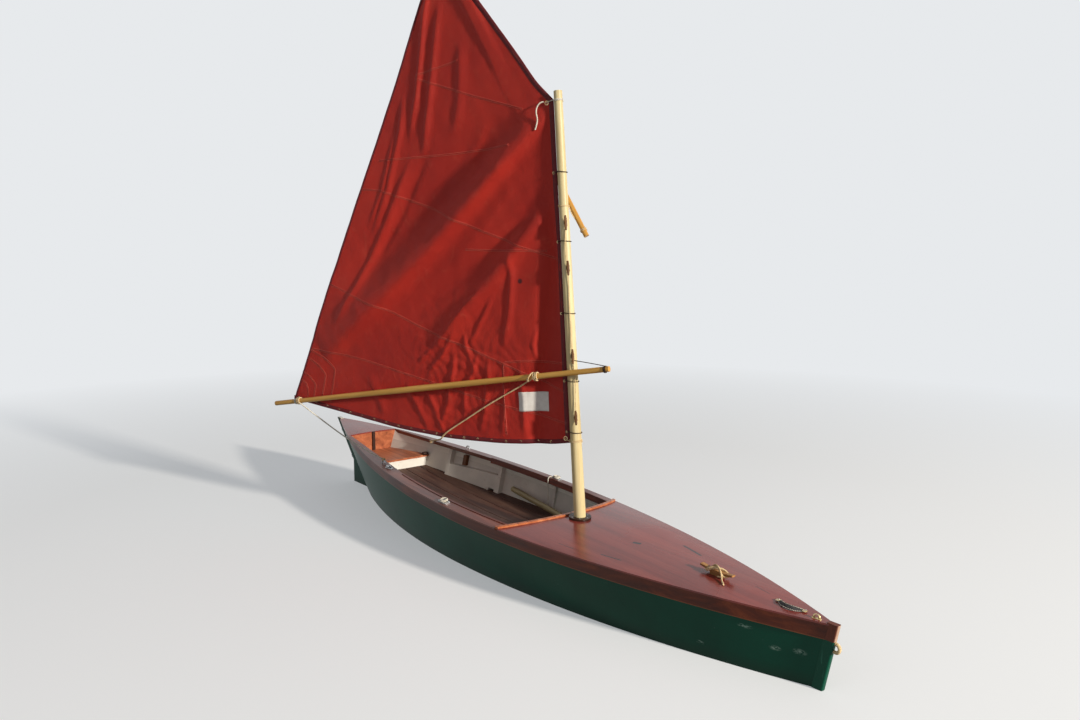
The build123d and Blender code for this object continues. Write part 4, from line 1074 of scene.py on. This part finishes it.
horn_wood = varnished_wood("horn_wood", (134, 92, 52), (104, 68, 38), (70, 44, 26), grain_along(MAST_UP),
                           figure=2.5, gloss=0.4)
outward = (mast_side(1.0, HORN_SIDE, 0.1) - mast_side(1.0, HORN_SIDE)).normalized()
mast_horns = joined([
    small_cleat(f"mast_horn_{number + 1}", mast_side(up, HORN_SIDE), MAST_UP, outward, *HORN_SIZE)
    for number, up in enumerate(HORN_UPS)], "mast_horns")
mast_horns.data.materials.append(horn_wood)
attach(mast_horns, "rig")

horn_turns = []
for up in HORN_UPS:
    eight = []
    for k in range(31):
        angle = 2 * math.pi * k / 12
        sideways = 0.0115 * math.sin(2 * angle) if abs(math.cos(angle)) < 0.9 else 0.0
        eight.append(mast_side(up, HORN_SIDE, 0.0135 + 0.0035 * math.cos(2 * angle))
                     + MAST_UP * (0.021 * math.cos(angle)) + MAST_UP.cross(outward) * sideways)
    horn_turns.append(eight)
rope("horn_turns", horn_turns, 0.0046, CREAM, "rig")

# Snotters and the halyard's fall. The sprit's heel sits in a rope sling from the mast;
# the boom's fore end is drawn in by another; both falls run down to the horn cleats.
FALLS = [
    # up the mast, turn from the cleats' side, out from the wood
    [(1.64, 0, 0.006), (1.6, -0.14, 0.004), (1.52, -0.29, 0.006), (1.46, -0.19, 0.01), (1.43, 0, 0.012)],
    [(1.395, 0, 0.01), (1.33, 0.06, 0.007), (1.22, -0.12, 0.004), (1.08, 0.01, 0.007), (0.98, -0.14, 0.006),
     (0.94, 0, 0.012)],
    [(0.905, 0, 0.01), (0.84, 0.21, 0.01), (0.74, 0.18, 0.014), (0.65, 0.06, 0.009), (0.595, 0, 0.012)],
]
heel = sprit_spot(1.64) + SAIL_PORT * 0.016
rope("sprit_snotter", [
    around(sprit_spot(1.625), SPRIT_RUN, 0.0182, 2.2, 0.007),
    [mast_side(1.76, math.radians(60), 0.004), mast_side(1.7, math.radians(50), 0.012), heel],
    around(MAST_FOOT + MAST_UP * 1.764, MAST_UP, 0.0305, 1.6, 0.007),
], 0.0055, CREAM, "rig")
rope("mast_falls", [[mast_side(up, HORN_SIDE + turn, out) for up, turn, out in fall] for fall in FALLS],
     0.005, CREAM, "rig")
rope("boom_snotter", [
    around(boom_spot(-0.232), BOOM_RUN, 0.0185, 2.3, 0.0065),
    [boom_spot(-0.232, -0.004) + MAST_UP * 0.018, boom_spot(-0.14) + MAST_UP * 0.044,
     mast_side(0.9, HORN_SIDE + 0.1, 0.01)],
], 0.0055, DARK, "rig")

# Sheets. One line from the boom's after end down to the starboard quarter eye, and
# one from a loop further forward to the port carlin; each is laid in place and fixed
# to neither the boat nor the rig.
EYE_AFT, EYE_OUT, EYE_DECK = -0.985, 0.347, 0.4172
BOW_LOOP, AFT_LOOP = 0.212, 2.107  # where on the boom each sheet is tied


def sheet_line(name, line, finish):
    """A line from its end on the boat to its end on the boom."""
    piece = rope(name, [line], 0.01, finish, None)
    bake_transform(piece)


boat_end, rig_end = Vector((EYE_AFT, -EYE_OUT, EYE_DECK + 0.03)), boom_spot(AFT_LOOP, -0.02)
sag = Vector((0, 0, -0.026))
sheet_line("starboard_sheet", [
    boat_end, boat_end.lerp(rig_end, 0.25) + sag, boat_end.lerp(rig_end, 0.6) + sag, rig_end], PALE)
boat_end, rig_end = Vector((-1.355, 0.257, 0.428)), boom_spot(BOW_LOOP, -0.024)
under_foot = rig_spot(0.945, 0.424, -0.004)
over_cloth = [Vector(cloth_spots(place, 0.0072).tolist()) for place in (
    (0.925, 0.448), (0.877, 0.482), (0.721, 0.565), (0.6, 0.63), (0.497, 0.682), (0.4, 0.728),
    (0.32, 0.766))]
sheet_line("port_sheet", [
    boat_end, boat_end.lerp(under_foot, 0.35), boat_end.lerp(under_foot, 0.7), under_foot,
    *over_cloth, rig_end], CREAM)
rope("boom_loops", [
    around(boom_spot(AFT_LOOP), BOOM_RUN, 0.0212, 2.4, 0.01),
    around(boom_spot(BOW_LOOP), BOOM_RUN, 0.0232, 2.3, 0.0105),
    around(boom_spot(0.25), BOOM_RUN + MAST_UP * 0.7, 0.03, 1.1, 0.006),
], 0.0095, CREAM, "rig")
rope("eye_hitches", [
    around((EYE_AFT, -EYE_OUT, EYE_DECK + 0.0285), (1, 0, 0), 0.0092, 2.4, 0.0085),
    around((-1.355, 0.2555, 0.424), (0.1, 1, 0.2), 0.01, 1.8, 0.008),
], 0.0072, CREAM, "hull")

# Deck and side fittings: plates under the handle's ends, a small fairlead by the stem,
# a jam cleat on the starboard quarter deck, and the eye for the port sheet.
DECK_RADIUS, DECK_TIP, TIP_HEIGHT = 3.4, 2.395, 0.315
DECK_LEAN = 1.00063  # how much longer an upright is than the deck's own square line
steel = worn_metal("galvanised_steel", tint(196, 198, 200), tint(140, 140, 138), 0.32)
wear_finish(steel, "bow_eye", "oarlock_socket_port", "oarlock_socket_starboard",
            "quarter_eye_port", "quarter_eye_starboard", "gudgeons")


def deck_z(x, y):
    """The deck's height over a point of the plan."""
    drop = DECK_RADIUS - math.sqrt(DECK_RADIUS ** 2 - y * y)
    return TIP_HEIGHT + DECK_SLOPE * (DECK_TIP - x) - drop * DECK_LEAN


def deck_out(y):
    """The deck's outward direction at a distance off the centreline."""
    up = Vector((DECK_SLOPE, 0, 1)).normalized()
    return (up * math.sqrt(DECK_RADIUS ** 2 - y * y) + Vector((0, y, 0))).normalized()


def plate(name, centre, along, out, length, width, thickness, rounding=0.35):
    """A plate with rounded corners and eased edges."""
    along, out = Vector(along).normalized(), Vector(out).normalized()
    across = out.cross(along).normalized()
    along = across.cross(out).normalized()
    corner = min(length, width) * rounding
    rings = []
    for lift, inset in ((-0.1, 0.0), (0.65, 0.0), (1.0, thickness * 0.5), (1.0, thickness * 1.2)):
        ring = []
        for sx, sy, first in ((1, 1, 0), (-1, 1, 1), (-1, -1, 2), (1, -1, 3)):
            for k in range(5):
                a = math.pi / 2 * (first + k / 4)
                r = max(corner - inset, 0.0002)
                x = sx * (length / 2 - corner) + r * math.cos(a)
                y = sy * (width / 2 - corner) + r * math.sin(a)
                ring.append(Vector(centre) + along * x + across * y + out * (thickness * lift))
        rings.append(ring)
    return ringed_form(name, rings)


HANDLE_X, HANDLE_HALF, HANDLE_PAD = 2.15, 0.0825, 0.022
STRAP_HALF = HANDLE_HALF - HANDLE_PAD / 2
PLATE_SIZE = 0.021, 0.024, 0.0024  # length, width, thickness
AHEAD, ABEAM = Vector((1, 0, 0)), Vector((0, 1, 0))
plates = []
for end in (-1, 1):
    x = HANDLE_X + end * STRAP_HALF
    centre = Vector((x, 0, deck_z(x, 0) + 0.005))
    plates.append(plate(f"handle_plate_{end}", centre, (1, 0, -DECK_SLOPE), deck_out(0), *PLATE_SIZE))
handle_plates = joined(plates, "handle_plates")
jam_x, jam_y = -0.875, -0.366
jam_spot = Vector((jam_x, jam_y, deck_z(jam_x, jam_y)))
jam_out = deck_out(jam_y)
jam = [plate("jam_base", jam_spot, (1, 0.13, -0.03), jam_out, 0.066, 0.026, 0.004)]
for side in (-1, 1):
    cheek = []
    for level, wide in ((0.003, 0.9), (0.01, 1.0), (0.016, 0.8), (0.019, 0.45)):
        centre = jam_spot + jam_out * level + Vector((-0.006, side * 0.0085, 0))
        cheek.append(ring_of(centre, AHEAD * (0.021 * wide), ABEAM * (0.0052 * wide), 14))
    jam.append(ringed_form(f"jam_cheek_{side}", cheek))
jam_cleat = joined(jam, "jam_cleat")
eye_base = plate("port_sheet_eye", (-1.355, 0.26, 0.424), (1, 0.15, 0), (0.16, -1, 0.05), 0.04, 0.018, 0.003)
lead_x, lead_y = 2.292, -0.012
lead_z = deck_z(lead_x, lead_y)
lead = [plate("fairlead_foot", (lead_x, lead_y, lead_z), (1, 0.2, 0), deck_out(0), 0.046, 0.016, 0.003)]
for side in (-1, 1):
    horn = []
    for level, lean, size in ((0.001, 0.012, 0.0062), (0.01, 0.013, 0.0052), (0.017, 0.01, 0.0048),
                              (0.021, 0.004, 0.0036)):
        centre = Vector((lead_x + side * lean, lead_y + side * lean * 0.2, lead_z + level))
        horn.append(ring_of(centre, AHEAD * size, ABEAM * size, 12))
    lead.append(ringed_form(f"fairlead_horn_{side}", horn))
fairlead = joined(lead, "fairlead")
for piece in (handle_plates, jam_cleat, eye_base, fairlead):
    piece.data.materials.clear()
    piece.data.materials.append(brass if piece in (fairlead, handle_plates) else steel)
    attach(piece, "hull")

# The bow handle. Black webbing, sewn along both edges, rolled over and bowed to
# starboard between its two plates.
HALF_BAND, HALF_THICK = 0.0125, 0.0014
STRAP_BOW, STRAP_RISE, STRAP_ROLL = 0.034, 0.0085, math.radians(48)
STRAP_SECTION = [(-1, -0.4), (-0.93, -1), (0.93, -1), (1, -0.4), (1, 0.4), (0.93, 1), (-0.93, 1), (-1, 0.4)]
webbing, tree, shader = new_finish("black_webbing")
spot = here(tree)
rib = ribs(tree, spot, 190.0, 0.6)
rub = cloud(tree, spot, 60.0, 4.0)
colour = mix(tree, rib, tint(18, 18, 20), tint(38, 37, 40))
colour = mix(tree, fade(tree, rub, 0.5, 0.75, 0, 0.35), colour, tint(96, 92, 88))
plug(tree, shader, {"Base Color": colour, "Roughness": 0.75})
raise_grain(tree, shader, rib, 0.5, 0.001)
rings, edge_rows = [], [[], []]
for k in range(41):
    s = -1 + k / 20
    arch = max(0.0, 1 - (STRAP_HALF * s / 0.064) ** 2)
    roll = STRAP_ROLL * min(1.0, arch * 1.6)
    x, y = HANDLE_X + STRAP_HALF * s, -STRAP_BOW * arch
    centre = Vector((x, y, deck_z(x, y) + 0.003 + STRAP_RISE * arch))
    wide = Vector((0, math.cos(roll), math.sin(roll)))
    face = Vector((-0.02 * s, -math.sin(roll), math.cos(roll))).normalized()
    rings.append([centre + wide * (HALF_BAND * a) + face * (HALF_THICK * b) for a, b in STRAP_SECTION])
    for row, edge in zip(edge_rows, (-0.72, 0.8)):
        if arch > 0.05:
            row.append(tuple(centre + wide * (HALF_BAND * edge) + face * HALF_THICK))
strap = ringed_form("handle_strap", rings)
strap.data.materials.append(webbing)
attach(strap, "hull")
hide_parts("bow_handle")
handle_stitches = run_tree(path_piece("handle_stitches", edge_rows), stitch_tree,
                           {"Pitch": 0.0075, "Length": 0.0052, "Thread": 0.0024, "Finish": PALE})
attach(handle_stitches, "hull")

# Fastenings. Round-headed screws through the metal plates and the collar, and wooden
# bungs over the screws in the foredeck trim.
head_tree, given = new_tree("fastenings", "Width", "Height", "Facing", "Finish")
ball = put(head_tree, "GeometryNodeMeshUVSphere", {"Segments": 12, "Rings": 6, "Radius": 0.5}).outputs[0]
squat = put(head_tree, "ShaderNodeCombineXYZ", {
    "X": given["Width"], "Y": given["Width"], "Z": given["Height"]})
heads = set_on_points(head_tree, given, ball, Scale=squat.outputs[0])
smooth = put(head_tree, "GeometryNodeSetShadeSmooth", {0: heads}).outputs[0]
close_tree(head_tree, smooth, given["Finish"])

SOCKET_X, SOCKET_Y = -0.06, 0.4382
COLLAR_X, COLLAR_RING = 0.695, 0.05
TRIM_X, TRIM_RING = -0.293, 0.908
fastenings = []


def set_heads(name, spots, width, height, facing, finish):
    """Round heads on points."""
    values = {"Width": width, "Height": height, "Facing": facing, "Finish": finish}
    fastenings.append(run_tree(point_piece(name, spots), head_tree, values))


def socket_frame(side):
    """The deck under an oarlock socket, the way across it and the way out."""
    out = deck_out(side * SOCKET_Y)
    foot = Vector((SOCKET_X, side * SOCKET_Y, deck_z(SOCKET_X, SOCKET_Y)))
    return foot, Vector((0, out.z, -out.y)), out


for name, side in (("port_socket_screws", 1), ("starboard_socket_screws", -1)):
    foot, across, out = socket_frame(side)
    spots = [foot + Vector((dx, 0, -DECK_SLOPE * dx)) + across * dy + out * 0.0072
             for dx in (-0.034, 0.034) for dy in (-0.011, 0.011)]
    set_heads(name, spots, 0.0075, 0.003, out, steel)
spots = [Vector((HANDLE_X + end * STRAP_HALF, y, deck_z(HANDLE_X + end * 0.07, 0) + 0.0078))
         for end in (-1, 1) for y in (-0.007, 0.007)]
for k in range(6):
    angle = math.pi / 3 * k + 0.3
    x, y = COLLAR_X + COLLAR_RING * math.cos(angle), COLLAR_RING * math.sin(angle)
    spots.append(Vector((x, y, deck_z(x, 0) + 0.012)))
set_heads("deck_screws", spots, 0.007, 0.003, deck_out(0), steel)
spots = []
for k in range(-8, 9):
    angle = math.radians(3.6 * k)
    x, y = TRIM_X + TRIM_RING * math.cos(angle), TRIM_RING * math.sin(angle)
    spots.append(Vector((x, y, deck_z(x, y) + 0.01)))
set_heads("trim_bungs", spots, 0.009, 0.001, deck_out(0), post_wood)
for piece in fastenings:
    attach(piece, "hull")

# Ropes on the hull: the turns left on the foredeck cleat, a serving of cord that
# covers the bow eye, and grommets round the oarlock sockets; the port one has a white
# tail hanging inside.
CLEAT_X = 1.717
CLEAT = Vector((CLEAT_X, 0.0, deck_z(CLEAT_X, 0.0)))
CLEAT_RUN = Vector((1, 0, -DECK_SLOPE)).normalized()
SERVING_RADIUS = 0.0068


def cleat_spot(along, side, rise):
    """A point along the foredeck cleat, to port of it and above the deck."""
    return CLEAT + CLEAT_RUN * along + Vector((0, side, 0)) + deck_out(0) * rise


turns = [cleat_spot(0.02, -0.0215, 0.006)]
for lift, wide in ((0.0, 0.0205), (0.0045, 0.0225)):
    for x, y, z in ((0.046, -1, 0.011), (0.06, -0.55, 0.011), (0.06, 0.55, 0.012), (0.046, 1, 0.016),
                    (0.016, 0.62, 0.034), (-0.016, -0.62, 0.036), (-0.046, -1, 0.016), (-0.06, -0.55, 0.012),
                    (-0.06, 0.55, 0.012), (-0.046, 1, 0.018), (-0.016, 0.62, 0.042), (0.016, -0.62, 0.044)):
        turns.append(cleat_spot(x + 0.007 * (lift > 0) * (1 if x > 0 else -1), wide * y, z + lift))
turns += [cleat_spot(*place) for place in (
    (0.046, -0.024, 0.024), (0.058, -0.036, 0.01), (0.075, -0.052, 0.0055), (0.1, -0.07, 0.0045))]
rope("cleat_turns", [turns], 0.0095, CREAM, "hull")
STEM_RUN, STEM_RISE = 0.168, 0.8  # the stem leans forward this much over this height
BAR_HALF, BAR_OFF, BAR_BOW = 0.019, 0.008, 0.018  # the bow eye's bar: half length, foot, bow
run = Vector((STEM_RUN, 0, STEM_RISE)).normalized()
out = Vector((STEM_RISE, 0, -STEM_RUN)).normalized()
foot = Vector((2.283 + STEM_RUN * 0.414 / STEM_RISE + BAR_OFF, 0, 0.214))
bar = [(-BAR_HALF, 0.002), (-BAR_HALF, BAR_OFF)]
for degrees in range(12, 169, 12):
    angle = math.radians(degrees)
    bar.append((-BAR_HALF * math.cos(angle), BAR_OFF + BAR_BOW * math.sin(angle)))
bar += [(BAR_HALF, BAR_OFF), (BAR_HALF, 0.002)]
bar = [foot + run * along + out * off for along, off in bar]
serving = []
for k in range(len(bar) * 12):
    place = k / 12
    first = min(int(place), len(bar) - 2)
    centre = bar[first].lerp(bar[first + 1], min(place - first, 1.0))
    other_way = (bar[first + 1] - bar[first]).normalized().cross(ABEAM)
    turn = 2 * math.pi * k / 8
    round_it = ABEAM * math.cos(turn) + other_way * math.sin(turn)
    serving.append(centre + round_it * SERVING_RADIUS)
rope("bow_serving", [serving], 0.004, CREAM, "hull", order=2)
grommets = []
for side in (1, -1):
    foot, across, out = socket_frame(side)
    for level, size in ((0.0115, 0.0228), (0.0185, 0.0228 * 0.93)):
        ring = ring_of(foot, Vector((1, 0, -DECK_SLOPE)) * size, across * size, 20)
        grommets.append([spot + out * (level + 0.0015 * math.sin(3 * (2 * math.pi * k / 20)))
                         for k, spot in enumerate(ring)])
rope("socket_grommets", grommets, 0.0072, PALE, "hull", True)


def hanging_tail(name, points, thickness, body):
    """A short free end of rope along a line of points."""
    guide = path_piece(name + "_line", [points], order=3)
    line = bpy.data.meshes.new_from_object(guide.evaluated_get(bpy.context.evaluated_depsgraph_get()))
    bpy.data.objects.remove(guide)
    tail = rope(name, [points], thickness, PALE, body)


hanging_tail("socket_tail", [Vector(place) for place in (
    (-0.078, 0.418, 0.388), (-0.079, 0.404, 0.393), (-0.08, 0.388, 0.39), (-0.08, 0.383, 0.374),
    (-0.081, 0.3825, 0.34), (-0.082, 0.383, 0.26), (-0.08, 0.3835, 0.19),
)], 0.007, "hull")
hanging_tail("throat_tail", [rig_spot(*place) for place in (
    (0.088, 2.352, -0.012), (0.104, 2.35, -0.022), (0.126, 2.328, -0.024), (0.134, 2.296, -0.024),
    (0.126, 2.262, -0.023), (0.132, 2.232, -0.023), (0.146, 2.204, -0.022),
)], 0.009, "rig")

# A block at the seat's port corner. Dark wood with eased edges, glued and screwed to
# the seat front.
block = plate("seat_block", (-1.4115, 0.235, 0.3165), (0, 1, 0), (0, 0, 1), 0.044, 0.03, 0.02, 0.12)
block.data.materials.append(post_wood)
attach(block, "hull")
